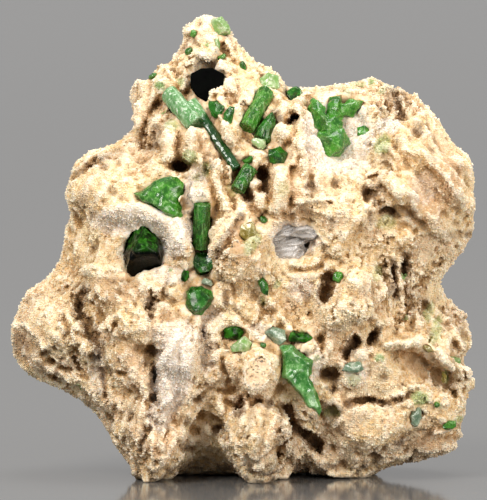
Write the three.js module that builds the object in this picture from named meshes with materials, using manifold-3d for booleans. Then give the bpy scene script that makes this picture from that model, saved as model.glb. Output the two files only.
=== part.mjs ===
// Tourmaline crystals in their matrix: a hand-sized piece of sugary albite rock, with green
// tourmaline prisms and broken green shards set in its hollows, and a few blades of quartz.
// Millimetres, +Z up, +X to the right and -Y towards the viewer, as the piece stands on its three
// feet. The origin is at the middle of the footprint, on the surface that the piece rests on.

import * as THREE from "three";
import { ConvexGeometry } from "three/addons/geometries/ConvexGeometry.js";
import { ImprovedNoise } from "three/addons/math/ImprovedNoise.js";
import { mergeVertices } from "three/addons/utils/BufferGeometryUtils.js";
import Module from "manifold-3d";

const wasm = await Module();
wasm.setup();

const { lerp, smoothstep, degToRad } = THREE.MathUtils;

// Driving sizes of the rock
const FRONT_DEPTH = 15.7; // how far the front bulges out of the plane of the outline
const BACK_DEPTH = 17.6; // the same behind
const EDGE_WIDTH = 17; // the rock is at its full depth this far in from the outline
const EDGE_ROUNDING = 1.6;
const FOOT_FULLNESS = 0.3; // a low value keeps the flanks deep near the feet, so that it stands
const TOP_FULLNESS = 0.62;
const FULLNESS_HEIGHT = 36; // above this the flanks have the top's fullness
const KNOB_FOOT = 53; // the knob on top is thinner than the rest
const KNOB_TIP = 62;
const KNOB_THINNING = 0.42;
const RELIEF_FADE = 3; // the lumps and hollows fade out this close to the outline
const LUMP_SIZE = 6.5; // typical width of the lumps all over the surface
const LUMP_HEIGHT = 4.2;
const LUMP_FADE = 5; // there are no lumps where the outline itself is seen
const RELAX_PASSES = 2;
const BELLY_AT = [-1, 5.5, 5.4]; // the underside hangs down here, behind the gaps between the feet
const BELLY_HALF = [17.5, 8.5, 4.9];
const SOCKET_GAP = 0.3; // clear space between a crystal and its socket in the rock
const LOOK_DOWN = 3.5; // every place on the front is as seen by an eye this many degrees higher

// Mesh of the rock
const MESH_DETAIL = 12;
const RIM_STEPS = 460;
const FRONT_SHARE = 0.6; // below 1, more of the mesh goes to the front
const CENTRE = new THREE.Vector2(0.5, 31); // every ray from here crosses the outline once

// The outline as seen from the front, x and z, clockwise from the top of the knob. The three feet
// run on below the resting surface and are cut flat there.
const OUTLINE = [
  [-5.2, 69.6], [-3.2, 69.4], [-2.2, 68], [-1.2, 65.5], [0.4, 63.6], [3, 61.9], [4.3, 61.9],
  [5.6, 60.4], [7.4, 58.6], [11.7, 58.9], [14.8, 58.9], [18, 59.4], [21.3, 59.9], [23.6, 58.7],
  [26.4, 57.4], [28.6, 55], [30.8, 52], [31.8, 50.2], [33.4, 49.2], [34.8, 47], [34.8, 43],
  [34.8, 39.5], [34.4, 36.8], [33.2, 35.4], [32.6, 33.4], [30.9, 31.5], [29.3, 29], [30.3, 26.8],
  [32.2, 25.7], [34.3, 22.8], [34.6, 20.6], [34.2, 18.6], [32.5, 16.4], [34.1, 13.8], [33.7, 10.5],
  [33.4, 7.2], [32, 4.8], [30.2, 3.2], [27, 2.3], [23.5, 1.4], [20.5, 0.9], [18.8, 0.6],
  [18.4, -2.4], [14, -2.6], [13.6, 0.6], [12, 2], [10.3, 2.6], [8.8, 2.2], [7.4, 1.2], [6, -2.3],
  [0.4, -2.4], [-0.4, 1.2], [-2, 2.3], [-3.6, 3.6], [-5.5, 4.8], [-7.2, 3.3], [-9, 1.8],
  [-10.6, 0.2], [-11.2, -2.6], [-15.4, -2.6], [-15.8, 0.8], [-17.6, 2.8], [-19.6, 4.9],
  [-20.8, 7.6], [-22, 9.6], [-23.4, 11.3], [-26, 12.6], [-29, 13.5], [-31.4, 14.4], [-33.4, 16.6],
  [-34.7, 18.4], [-34.6, 21.8], [-33.6, 25.5], [-32, 28.2], [-29, 29.9], [-27.5, 31.9],
  [-26.7, 35.2], [-26.3, 38.4], [-25.6, 39.7], [-26.3, 41.3], [-26.1, 44.9], [-25, 47.5],
  [-22.8, 49.1], [-20, 49.6], [-17.4, 51.2], [-16.1, 53.4], [-15.6, 56.4], [-14.6, 59.6],
  [-12.4, 61.5], [-9.4, 63.6], [-9.6, 65.2], [-8.6, 67.8], [-7, 69.1],
];

// Broad lumps (a rise above 0) and hollows (below 0) of the front: x, z, half width, half height,
// turn in degrees, rise. A turn of 0 keeps the height upright, and a positive one leans it left.
const FRONT_FORMS = [
  [-5.3, 65.4, 4.2, 4.6, 0, 1.6], // knob
  [-12.3, 58.1, 3.4, 2.8, 0, 1.3], // its left shoulder
  [0.1, 58.2, 1.5, 4, 12, 1.7], // flake to the right of the socket crystal
  [3, 60, 3.8, 1.6, -38, 0.9], // its right shoulder
  [13.4, 57.6, 7, 1.4, 0, 1.1], // lip over the bowl
  [9.3, 52, 1.1, 6.4, 2, 1.9], // rib between the vug and the bowl
  [16.2, 51.8, 6.4, 5.6, 0, -3.6], // bowl
  [21.3, 47.5, 1.5, 2.2, -30, -2.6], // its deep corner
  [24.6, 49.3, 3, 3.4, 0, 1.5], // boss to the right of the bowl
  [23.5, 54.8, 0.9, 2.6, 8, -2.3], // notch in the top right edge
  [25.9, 52.1, 1.2, 1.2, 0, -1.5], // dimple
  [28.6, 44, 6.2, 10, 0, 2], // upper right lobe
  [24.6, 43, 8, 1.7, -42, 1.5], // its two slanting ridges
  [28.4, 38.4, 6, 1.4, -42, 1.3],
  [27, 41.4, 7, 1.1, -42, -1.2],
  [22, 39.6, 1.6, 1.2, 0, -2.6], // dark hole under them
  [-19.8, 43.3, 7, 6.2, 0, 2.6], // left shoulder
  [-15.4, 39.8, 6, 2.1, -12, 1.5], // arch over the cave
  [-9.4, 35.4, 1.9, 4.8, 22, 1.9],
  [-17.4, 24.4, 6.6, 6, 0, 2.4], // left cheek
  [-29.4, 22.1, 5.4, 6.6, 0, 1.7], // left ear
  [-22.4, 23.3, 0.9, 6, 17, -3.4], // crevice between them
  [-30.6, 17.6, 2.4, 0.7, 24, -1.2],
  [-8.1, 16.9, 3.2, 7, 6, 2], // column of white quartz
  [-13.6, 15.8, 1.5, 5.4, 8, -2.8], // recess to its left
  [-5.2, 17.8, 1.4, 3.6, -8, -1.4], // and to its right
  [-13, 6.4, 5.6, 5.4, 0, 2], // left foot
  [-5.1, 9.2, 1.5, 4.8, -6, -2.8], // hollow between the left and the middle foot
  [3, 6.8, 5.8, 5.4, 0, 2.8], // middle foot
  [1.6, 16.6, 4.4, 4, 0, 2.9], // pale boss
  [-0.5, 10.7, 0.7, 1.7, -8, -2.3], // holes under it
  [-3.3, 7, 1.2, 1.2, 0, -2],
  [8.7, 7, 1.2, 4.6, 18, -2.6], // groove between the middle and the right foot
  [18.8, 7, 8.6, 5, 0, 2.4], // right foot
  [20.7, 11.4, 6.6, 0.6, 8, -1.4], // crack along its top
  [27.6, 19.2, 5.6, 1.4, -38, 1.7], // slanting ridge
  [26.6, 15.6, 5, 2, -38, -1.9], // smooth hollow under it
  [31.3, 20.9, 3.2, 4.4, 0, 1], // lower right lobe
  [17, 26.6, 6.6, 6.2, 0, 2.7], // cheek right of the middle
  [14.6, 39.4, 5.2, 4.8, 0, 1.9], // cheek over it
  [22.4, 29.2, 0.7, 2.7, 5, -2], // slots in its right flank
  [24.6, 31.9, 0.8, 1.9, 0, -1.9],
  [19.7, 20.9, 1, 1.7, -35, -2.3], // pockets under it
  [15.9, 19.7, 0.9, 1.7, -25, -2.1],
  [13.3, 14.6, 1.6, 1.5, 0, -3],
  [12.2, 28.9, 1.1, 2.4, 10, -2.5],
  [8.7, 26.4, 2.8, 3.2, 0, -1.7], // hollow below the quartz
  [7.5, 35.2, 4.6, 3.8, 12, -3.8], // hollow of the quartz blades
  [8.7, 43, 3, 4, 0, 1.6], // brow over it
  [-0.8, 33.8, 4.8, 5.6, 0, 2.8], // flake in the middle
  [-6.2, 33.6, 1.9, 6.6, 0, -2.4], // gully to its left
  [-1.4, 47, 7, 8.8, -18, -3.8], // vug
  [-4.4, 51.8, 1.8, 7.6, 33, -3], // groove along the slender prism
];

// How the middle plane of the rock bends to the back (above 0) or to the front, in the same terms.
const BENDS = [
  [-31, 20, 11, 12, 0, 3.5], // left ear
  [-13, 4, 10, 14, 0, -3], // left foot
  [3, 3, 8, 10, 0, -2], // middle foot
  [20, 4, 14, 14, 0, 3.5], // right foot
  [34, 22, 8, 10, 0, 4], // lower right lobe
  [31, 45, 12, 16, 0, -2.5], // upper right lobe
  [-26, 44, 11, 10, 0, -2], // left shoulder
  [-5, 69, 10, 14, 0, 3], // knob
  [16, 60, 12, 9, 0, 2.5], // top right edge
];

// The back has no crystals: only broad lumps and a few furrows, in the same terms.
const BACK_FORMS = [
  [-18, 42, 8, 8, 0, 2],
  [-4, 56, 6, 6, 0, 1.2],
  [16, 46, 10, 9, 20, 2.2],
  [-24, 21, 8, 6, -15, 1.8],
  [-8, 26, 8, 9, 10, 1.4],
  [12, 22, 11, 8, -20, 2.4],
  [24, 30, 6, 8, 0, 1.2],
  [-10, 9, 8, 6, 0, 1.6],
  [4, 38, 5, 3.6, 35, -2.6],
  [-16, 31, 7, 1.6, 28, -2.4],
  [27, 14, 6, 4, 0, 1.6],
  [6, 9, 1.8, 6, 8, -2.2],
  [20, 36, 8, 1.4, -30, -1.8],
];

// Deep holes, cut out as ellipsoids: x, z, how far the middle lies under the front's surface, and
// the half sizes across, in depth and upwards.
const CAVES = [
  [-5.2, 60.9, 0.2, 2.5, 3.2, 2.6], // hooded socket of the top crystal
  [-14.8, 33.8, 0.2, 4, 3.8, 3.1], // cave in the left half
  [3.7, 44.4, 0.6, 1.5, 3.2, 3.2], // dark gaps in the vug
  [-9.2, 46.6, 0.6, 2.1, 2.4, 1.1],
  [7.6, 53.3, 0.4, 1, 2, 1],
  [-1.3, 21.5, 0.2, 2.5, 2.2, 1.6], // pit in the middle
];

// Stubs of white feldspar that grew out of the vug's walls: x, z, how far their middle is sunk,
// radius, length, turn in degrees.
const STUBS = [
  [-10.9, 50.4, 0.2, 1.5, 6, 4],
  [-7.6, 50.2, 0.4, 1.35, 5, -8],
  [-5.6, 46.8, 0.5, 0.75, 3.4, 20],
  [-8.9, 48.4, 0.8, 1.1, 2.8, 0],
  [5.7, 42.3, 0.3, 1.5, 7.4, 4],
  [2.9, 41.4, 0.6, 1.1, 3.4, 10],
  [2.1, 43.6, 1, 0.95, 2.6, 0],
  [6.3, 50.9, 0.7, 1.5, 3.6, 0],
  [6, 54.4, 0.4, 1.4, 3.4, -20],
  [-1.2, 52.6, 0.5, 1.3, 3.6, -32],
  [-4, 43.8, 0.9, 1.6, 5.6, 12],
  [-7.9, 38.4, 0.5, 0.75, 7, 0],
  [2.6, 47.2, 0.6, 1.2, 2.8, 60],
  [-2.6, 47.4, 0.8, 1.2, 6.4, 38],
];
const STUB_SIDES = 6;

const EMERALD = { color: 0x2f9a44, roughness: 0.18, metalness: 0 };
const MINT = { color: 0x8cc39a, roughness: 0.25, metalness: 0 };
const BOTTLE = { color: 0x0f3a16, roughness: 0.12, metalness: 0 };
const TEAL = { color: 0x7fb0a8, roughness: 0.22, metalness: 0 };
const QUARTZ = { color: 0xe4e1df, roughness: 0.2, metalness: 0 };
const ALBITE = { color: 0xdcc39b, roughness: 0.9, metalness: 0 };

// Prisms of tourmaline, each with a three-cornered section, the turn about its own axis, the radius
// and how much the section is flattened. A prism that lies on the rock has its two ends as seen
// from the front and how far each is sunk. One that stands in it has the place of its middle, the
// direction from root to tip and the length.
const PRISMS = [
  {
    name: "top_socket_crystal", at: [-5.2, 58.5], sunk: 3.2, axis: [0, -1, 0.15], spin: -90,
    radius: 2.6, length: 6.4, finish: BOTTLE,
  },
  {
    name: "upper_prism", ends: [[0.6, 52.3], [3.6, 57.9]], sunk: [-0.2, -0.3], spin: 20,
    radius: 1.3, finish: EMERALD,
  },
  {
    name: "rim_dark_crystal", at: [7.6, 57.3], sunk: 0.7, axis: [0.1, -1, 0.15], spin: 40,
    radius: 1.15, length: 2.8, finish: BOTTLE,
  },
  {
    name: "stub_prism", ends: [[-0.8, 43], [1.2, 46.4]], sunk: [-0.2, -0.4], spin: 0,
    radius: 1.1, finish: EMERALD,
  },
  {
    name: "vertical_prism", ends: [[-6.1, 34.3], [-5.9, 41]], sunk: [0.2, -0.2], spin: 30,
    radius: 1.3, finish: EMERALD,
  },
  {
    name: "cave_crystal", at: [-14.7, 33.9], sunk: 2.9, axis: [0.05, -0.75, -0.6], spin: 90,
    radius: 3.4, length: 6.8, flat: 0.8, finish: BOTTLE,
  },
  {
    name: "round_crystal", at: [-5.7, 32], sunk: 0.4, axis: [0.05, -0.95, 0.28], spin: 10,
    radius: 1.75, length: 3.6, finish: EMERALD,
  },
];

// Broken pieces: name, where the middle is seen from the front, how far it is sunk, the size
// across, in depth and upwards, the turn in the plane of the front, and the finish.
const CHIPS = [
  ["rim_pale_crystal", [4.1, 59.2], 0.2, [3.2, 2.6, 3.4], 30, MINT],
  ["olive_crystal", [-3.9, 55.1], 0.1, [2.5, 1.9, 3.4], 10, EMERALD],
  ["wedge_crystal", [-2, 54.2], 0.2, [1.7, 1.8, 3.4], -24, BOTTLE],
  ["pale_vug_crystal", [2.6, 49.7], 0, [2.7, 1.8, 1.8], -20, MINT],
  ["block_crystal", [5.2, 48.1], -0.2, [3.3, 2.6, 3], 10, BOTTLE],
  ["shadow_crystal", [0.8, 47.5], 0.3, [1.9, 1.6, 1.4], 10, BOTTLE],
  ["olive_chip", [3.1, 38.7], 0, [1.3, 1.2, 1.1], -25, BOTTLE],
  ["olive_patch", [0.9, 37], 0, [2.4, 1.4, 3.8], -20, MINT],
  ["sliver_crystal", [-8.4, 30.2], 0.1, [1.5, 1.6, 2.4], -20, BOTTLE],
  ["teal_chip", [-5, 29.3], 0, [2, 1.4, 1.2], -20, TEAL],
  ["grey_green_crystal", [3.2, 28.8], 0, [1.7, 1.4, 3.2], 20, BOTTLE],
  ["face_chip", [14.2, 30.1], 0, [1.7, 1.3, 2.1], -15, EMERALD],
  ["pit_crystal", [-1.4, 21.8], 1.1, [4, 2, 2.5], 0, BOTTLE],
  ["pale_slab", [-0.2, 19.9], -0.1, [4.2, 1.6, 2.3], 12, MINT],
  ["teal_shadow_crystal", [8.7, 21.2], 0, [4.2, 1.8, 2.2], -8, BOTTLE],
  ["pin_chip", [3.2, 20], 0, [1.1, 1, 0.9], -20, BOTTLE],
  ["teal_lump", [5.1, 21.5], 0, [3.8, 2, 2.6], -28, TEAL],
  ["teal_pocket_crystal", [16.6, 16.6], 0, [3.4, 1.8, 2.1], -12, TEAL],
  ["bowl_chip", [17.9, 51.8], 0, [2.6, 1.4, 2], 10, EMERALD],
  ["ridge_chip", [27.6, 19.4], 0, [1.9, 1.2, 1.2], -30, EMERALD],
  ["hollow_chip", [30.1, 15.2], 0, [1, 1.2, 2.2], 5, EMERALD],
  ["right_edge_crystal", [31.7, 17.2], 0, [2.2, 1.8, 2.5], -30, MINT],
  ["lower_right_crystal", [25.8, 9], 0, [2, 1.6, 3.4], -5, TEAL],
  ["lower_right_chip", [30.8, 7.8], 0, [2.5, 1.3, 1.6], 25, EMERALD],
  ["lower_right_speck", [28.9, 10.9], 0, [1, 1, 0.9], 20, EMERALD],
  ["knob_crystal", [-3.1, 67.5], 0.2, [2.9, 2.6, 3.7], 20, MINT],
  ["knob_chip", [-7.2, 66.7], 0, [1, 1, 1.2], 10, EMERALD],
  ["knob_lower_chip", [-7.9, 64], 0, [1.3, 1.1, 1.6], 0, EMERALD],
  ["knob_strip", [-3.7, 65], 0, [1.1, 1.2, 2.1], 0, MINT],
  ["socket_rim_chip", [-3, 63], 0.1, [1.7, 1.2, 1], 20, EMERALD],
  ["left_edge_chip", [-13.4, 60.2], 0.1, [1.6, 1.3, 1], 30, EMERALD],
  ["slope_chip", [0.1, 61.6], 0, [1.1, 1, 1.8], 15, BOTTLE],
];

// Shards whose outline is worth following: points seen from the front, relative to the middle,
// the thickness, and the share of the outline that is left on the front face.
const SHARDS = [
  {
    name: "broken_shard", at: [-12, 41.4], sunk: -0.4, thick: 3.8, face: 0.62, lean: [0.1, 0.25],
    points: [[-4.3, 1.2], [-1.8, 2.4], [0.5, 3.3], [2.4, 3.7], [3.3, 2.7], [3.7, 0], [3.6, -3.2],
      [2.6, -3.2], [0.6, -2], [-1.4, -0.6], [-3.6, 0.2]],
    finish: EMERALD,
  },
  {
    name: "green_shard", at: [-6.4, 26.6], sunk: 0, thick: 2.6, face: 0.7, lean: [0, 0.1],
    points: [[-2, 1.4], [-1.2, 2.1], [0.3, 2.2], [1.8, 1.4], [2.2, 0.4], [1.4, -1.1], [0.2, -2.1],
      [-1, -2.1], [-1.8, -0.6]],
    finish: EMERALD,
  },
  {
    name: "tapered_crystal", at: [3.5, 52], sunk: 0.5, thick: 2.4, face: 0.6, lean: [0.2, 0],
    points: [[1, 2.8], [1.5, 1.5], [1, -2], [0.3, -2.4], [-1.8, -1.1], [-1.4, 0], [0, 1.9]],
    finish: BOTTLE,
  },
];

// Pieces of one crystal, or crystals that grew together, joined in one solid.
const LOWER_SHARD = {
  name: "lower_shard", at: [8.7, 15.2], sunk: -0.7, thick: 2.4, face: 0.8, finish: EMERALD,
  outlines: [
    [[-3.1, 4.6], [-1.5, 4.9], [1.7, 2.6], [1.6, 0.5], [0.9, -0.9], [-0.8, -1.9], [-2.8, 0.5],
      [-3, 3.6]],
    [[-1, 0.8], [1.2, 0.4], [2.5, -2.7], [3.4, -5], [2.8, -6], [1.1, -4.6], [-0.9, -1.7]],
  ],
};
const LONG_PRISM = {
  name: "long_prism", finish: EMERALD,
  parts: [
    { ends: [[-10.9, 57.6], [-6.8, 52.7]], sunk: [-0.1, -0.2], spin: 25, radius: 1.4 },
    { ends: [[-7.6, 56.4], [-0.9, 46.2]], sunk: [-0.4, -0.8], spin: 5, radius: 0.8 },
  ],
};
const CLUSTERS = [
  {
    name: "bowl_cluster", finish: EMERALD,
    lobes: [
      { at: [11.2, 54.4], sunk: -0.1, size: [3, 3, 5.8], turn: 26, lean: 35 },
      { at: [13.8, 54.7], sunk: -0.2, size: [3.3, 3.2, 7], turn: -6, lean: 35 },
      { at: [15.9, 55.4], sunk: -0.1, size: [5.6, 2.8, 2.7], turn: 24, lean: 35 },
      { at: [13.5, 50.2], sunk: 0.4, size: [5.6, 4.4, 6], turn: 0, lean: 45 },
      { at: [13.1, 52.2], sunk: -0.3, size: [4.2, 3.8, 4.6], turn: 0, lean: 35 },
    ],
  },
  {
    name: "quartz_blades", finish: QUARTZ,
    lobes: [
      { at: [7.2, 35.4], sunk: 0.1, size: [9.4, 3.4, 2.4], turn: 16, lean: 0 },
      { at: [6.4, 33.6], sunk: 0.2, size: [8, 3.2, 3.2], turn: 5, lean: 0 },
      { at: [9.2, 36.8], sunk: 0.4, size: [5.6, 3.4, 2.2], turn: -6, lean: 0 },
      { at: [6.2, 36.8], sunk: 0.5, size: [5.8, 3.4, 2.3], turn: 34, lean: 0 },
    ],
  },
];

// A closed geometry as a manifold-3d solid.
function solidOf(geometry) {
  const bare = geometry.clone();
  bare.deleteAttribute("normal");
  bare.deleteAttribute("uv");
  const merged = mergeVertices(bare, 1e-4);
  const mesh = new wasm.Mesh({
    numProp: 3,
    vertProperties: new Float32Array(merged.attributes.position.array),
    triVerts: new Uint32Array(merged.index.array),
  });
  mesh.merge();
  return new wasm.Manifold(mesh);
}

// A manifold-3d solid as a geometry.
function geometryOf(solid) {
  const mesh = solid.getMesh();
  const geometry = new THREE.BufferGeometry();
  geometry.setAttribute("position", new THREE.BufferAttribute(mesh.vertProperties, mesh.numProp));
  geometry.setIndex(new THREE.BufferAttribute(mesh.triVerts, 1));
  geometry.computeVertexNormals();
  return geometry;
}

// A stream of random numbers from 0 to 1 that is the same on every run.
function randomStream(seed) {
  let state = seed >>> 0;
  return () => {
    state = (Math.imul(state, 1664525) + 1013904223) >>> 0;
    return state / 4294967296;
  };
}

const outlineCurve = new THREE.CatmullRomCurve3(
  OUTLINE.map(([x, z]) => new THREE.Vector3(x, z, 0)), true, "centripetal");
const rim = outlineCurve.getSpacedPoints(RIM_STEPS).map((p) => new THREE.Vector2(p.x, p.y));
const rimAngles = rim.map((p) => p.clone().sub(CENTRE).angle());

// The distance from CENTRE to the outline in a direction.
function rimRadius(angle) {
  const turn = ((angle % (2 * Math.PI)) + 2 * Math.PI) % (2 * Math.PI);
  for (let i = 0; i < RIM_STEPS; i++) {
    let [high, low] = [rimAngles[i], rimAngles[i + 1]];
    if (low - high > Math.PI) {
      if (turn > Math.PI) high += 2 * Math.PI;
      else low -= 2 * Math.PI;
    }
    if (turn > high || turn < low) continue;
    const share = high === low ? 0 : (high - turn) / (high - low);
    return lerp(rim[i].distanceTo(CENTRE), rim[i + 1].distanceTo(CENTRE), share);
  }
  throw new Error("the outline has no point at angle " + angle);
}

// The distance from a point seen from the front to the nearest bit of the outline.
function distanceToRim(point) {
  let nearest = Infinity;
  for (let i = 0; i < RIM_STEPS; i++) {
    const along = rim[i + 1].clone().sub(rim[i]);
    const share = point.clone().sub(rim[i]).dot(along) / along.lengthSq();
    const foot = rim[i].clone().addScaledVector(along, THREE.MathUtils.clamp(share, 0, 1));
    nearest = Math.min(nearest, foot.distanceTo(point));
  }
  return nearest;
}

// The rise of a list of forms at a point. Each form is a dome with a crease round its foot.
function reliefOf(forms, x, z) {
  let sum = 0;
  for (const [cx, cz, halfWidth, halfHeight, turn, rise] of forms) {
    const [cos, sin] = [Math.cos(degToRad(turn)), Math.sin(degToRad(turn))];
    const across = ((x - cx) * cos + (z - cz) * sin) / halfWidth;
    const up = ((z - cz) * cos - (x - cx) * sin) / halfHeight;
    const reach = across * across + up * up;
    if (reach < 1) sum += rise * (1 - reach) ** 1.2;
  }
  return sum;
}

const noise = new ImprovedNoise();

// Rounded lumps with creases between them, in two sizes.
function lumpiness(point) {
  const large = point.clone().divideScalar(LUMP_SIZE);
  const small = point.clone().divideScalar(0.45 * LUMP_SIZE);
  return LUMP_HEIGHT * (Math.abs(noise.noise(...large.toArray()))
    + 0.45 * Math.abs(noise.noise(...small.toArray())) - 0.5);
}

// How far the rock bulges out of its middle plane, to the front (side -1) or the back (side 1).
function bulgeAt(x, z, side, rimDistance) {
  const rise = Math.min(rimDistance / EDGE_WIDTH, 1);
  const fullness = lerp(FOOT_FULLNESS, TOP_FULLNESS, smoothstep(z, 0, FULLNESS_HEIGHT));
  const thinning = 1 - KNOB_THINNING * smoothstep(z, KNOB_FOOT, KNOB_TIP);
  const depth = side < 0 ? FRONT_DEPTH : BACK_DEPTH;
  return side * depth * thinning * (1 - (1 - rise) ** EDGE_ROUNDING) ** fullness;
}

// Evens out how far each point of a mesh lies from y = 0, so that steep flanks have no fins.
function relax(geometry, heights) {
  const index = geometry.index.array;
  for (let pass = 0; pass < RELAX_PASSES; pass++) {
    const sums = new Float32Array(heights.length);
    const counts = new Uint16Array(heights.length);
    for (let i = 0; i < index.length; i++) {
      const next = i % 3 === 2 ? i - 2 : i + 1;
      sums[index[i]] += heights[index[next]];
      counts[index[i]] += 1;
    }
    for (let i = 0; i < heights.length; i++) heights[i] = 0.5 * (heights[i] + sums[i] / counts[i]);
  }
}

// The rock before anything is cut: a sphere's mesh, drawn out to the outline, front and back, and
// then raised and sunk along its own normals.
function rockShape() {
  const sphere = new THREE.IcosahedronGeometry(1, MESH_DETAIL);
  sphere.deleteAttribute("normal");
  sphere.deleteAttribute("uv");
  const geometry = mergeVertices(sphere, 1e-5);
  const position = geometry.attributes.position;
  const heights = new Float32Array(position.count);
  const forms = new Float32Array(position.count);
  const point = new THREE.Vector3();
  for (let i = 0; i < position.count; i++) {
    point.fromBufferAttribute(position, i);
    const fromFront = 2 * Math.atan(FRONT_SHARE * Math.tan(Math.acos(-point.y) / 2));
    const angle = Math.atan2(point.z, point.x);
    const radius = rimRadius(angle) * Math.sin(fromFront);
    const x = CENTRE.x + radius * Math.cos(angle);
    const z = CENTRE.y + radius * Math.sin(angle);
    const side = fromFront < Math.PI / 2 ? -1 : 1;
    const rimDistance = distanceToRim(new THREE.Vector2(x, z));
    heights[i] = bulgeAt(x, z, side, rimDistance);
    const seenZ = z + Math.min(heights[i], 0) * Math.tan(degToRad(LOOK_DOWN));
    forms[i] = reliefOf(side < 0 ? FRONT_FORMS : BACK_FORMS, x, seenZ)
      * smoothstep(rimDistance, 0, RELIEF_FADE);
    position.setXYZ(i, x, 0, z);
  }
  relax(geometry, heights);
  for (let i = 0; i < position.count; i++) {
    position.setY(i, heights[i] + reliefOf(BENDS, position.getX(i), position.getZ(i)));
  }
  geometry.computeVertexNormals();
  const normal = new THREE.Vector3();
  for (let i = 0; i < position.count; i++) {
    point.fromBufferAttribute(position, i);
    normal.fromBufferAttribute(geometry.attributes.normal, i);
    const lumps = lumpiness(point) * smoothstep(Math.abs(heights[i]), 0, LUMP_FADE);
    point.addScaledVector(normal, forms[i] + lumps);
    position.setXYZ(i, ...point.toArray());
  }
  return geometry;
}

const rock = new THREE.Mesh(rockShape(), new THREE.MeshStandardMaterial());
const sight = new THREE.Vector3(0, Math.cos(degToRad(LOOK_DOWN)), -Math.sin(degToRad(LOOK_DOWN)));
const eye = new THREE.Raycaster();

// A point of the front's surface, where it is seen, and sunk into the rock by a distance.
function seat([x, z], sunk) {
  eye.set(new THREE.Vector3(x, 0, z).addScaledVector(sight, -100), sight);
  const [hit] = eye.intersectObject(rock);
  return hit.point.add(new THREE.Vector3(0, sunk, 0));
}

// A rounded lump as a closed geometry with soft noise on it.
function lump(halfSizes, detail, seed) {
  const geometry = new THREE.IcosahedronGeometry(1, detail);
  const position = geometry.attributes.position;
  const point = new THREE.Vector3();
  for (let i = 0; i < position.count; i++) {
    point.fromBufferAttribute(position, i);
    const swell = 1 + 0.16 * noise.noise(1.7 * point.x + seed, 1.7 * point.y, 1.7 * point.z);
    position.setXYZ(i, ...point.multiplyScalar(swell).multiply(halfSizes).toArray());
  }
  return geometry;
}

function placed(geometry, position, quaternion = new THREE.Quaternion()) {
  return geometry.clone().applyQuaternion(quaternion).translate(...position.toArray());
}

// A feldspar stub: a short rounded column that is a little thicker at its foot.
function stubSolid([x, z, sunk, radius, length, turn], index) {
  const half = length / 2;
  const profile = [[0, -half], [0.85 * radius, -0.85 * half], [1.05 * radius, -0.2 * half],
    [0.8 * radius, 0.75 * half], [0, half]];
  const geometry = new THREE.LatheGeometry(
    profile.map(([r, h]) => new THREE.Vector2(r, h)), STUB_SIDES, index);
  geometry.rotateX(Math.PI / 2);
  const lean = new THREE.Quaternion().setFromEuler(
    new THREE.Euler(0.12 * Math.sin(index * 2.1), -degToRad(turn), 0));
  return solidOf(placed(geometry, seat([x, z], sunk), lean));
}

// The three-cornered section of a tourmaline prism, with bulging sides.
function tourmalineSection(radius, flat) {
  const points = [];
  const sides = 9;
  for (let i = 0; i < sides; i++) {
    const angle = (2 * Math.PI * i) / sides;
    const reach = radius * (1 + 0.11 * Math.cos(3 * angle));
    points.push(new THREE.Vector2(reach * Math.cos(angle), flat * reach * Math.sin(angle)));
  }
  return new THREE.Shape(points);
}

// A prism about the origin, along +Z.
function prismGeometry(radius, length, flat = 1) {
  const section = tourmalineSection(radius, flat);
  const prism = new THREE.ExtrudeGeometry(section, { depth: length, bevelEnabled: false });
  return prism.translate(0, 0, -length / 2);
}

function turnOf(axis, spin) {
  const along = new THREE.Vector3(...axis).normalize();
  const turn = new THREE.Quaternion().setFromUnitVectors(new THREE.Vector3(0, 0, 1), along);
  const about = new THREE.Quaternion().setFromAxisAngle(new THREE.Vector3(0, 0, 1), degToRad(spin));
  return turn.multiply(about);
}

// A prism with its place and its turn.
function prismPiece({ ends, at, sunk, axis, spin, radius, length, flat }) {
  if (!ends) return [prismGeometry(radius, length, flat), seat(at, sunk), turnOf(axis, spin)];
  const [root, tip] = ends.map((end, i) => seat(end, sunk[i]));
  const along = tip.clone().sub(root);
  const middle = root.clone().lerp(tip, 0.5);
  return [prismGeometry(radius, along.length(), flat), middle, turnOf(along.toArray(), spin)];
}

// A broken piece about the origin: the hull of random points near an ellipsoid.
function chipGeometry([width, depth, height], seed) {
  const random = randomStream(seed);
  const points = [];
  const count = 12;
  for (let i = 0; i < count; i++) {
    const up = 1 - (2 * (i + 0.5)) / count;
    const angle = i * 2.4 + random();
    const level = Math.sqrt(1 - up * up);
    const reach = 0.92 + 0.16 * random();
    points.push(new THREE.Vector3(0.5 * width * reach * level * Math.cos(angle),
      0.5 * depth * reach * level * Math.sin(angle), 0.5 * height * reach * up));
  }
  return new ConvexGeometry(points);
}

// A shard about the origin: its outline at the back, and a smaller face in front.
function shardGeometry(points, thick, face, lean = [0, 0]) {
  const corners = [];
  for (const [x, z] of points) {
    corners.push(new THREE.Vector3(x, 0, z));
    corners.push(new THREE.Vector3(0.7 * x, 0.55 * thick, 0.7 * z));
    corners.push(new THREE.Vector3(
      face * x, -0.45 * thick + lean[0] * x + lean[1] * z, face * z));
  }
  return new ConvexGeometry(corners);
}

// A geometry about the origin, grown on every side by a distance.
function grown(geometry, distance) {
  geometry.computeBoundingBox();
  const half = geometry.boundingBox.getSize(new THREE.Vector3()).multiplyScalar(0.5);
  const scale = half.clone().addScalar(distance).divide(half);
  return geometry.clone().scale(...scale.toArray());
}

// A turn in the plane of the front, and then a lean of the top to the back.
function turnInPlane(turn, lean = 0) {
  const back = new THREE.Quaternion().setFromAxisAngle(new THREE.Vector3(1, 0, 0), -degToRad(lean));
  const turned = new THREE.Quaternion();
  turned.setFromAxisAngle(new THREE.Vector3(0, 1, 0), -degToRad(turn));
  return back.multiply(turned);
}

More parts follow.
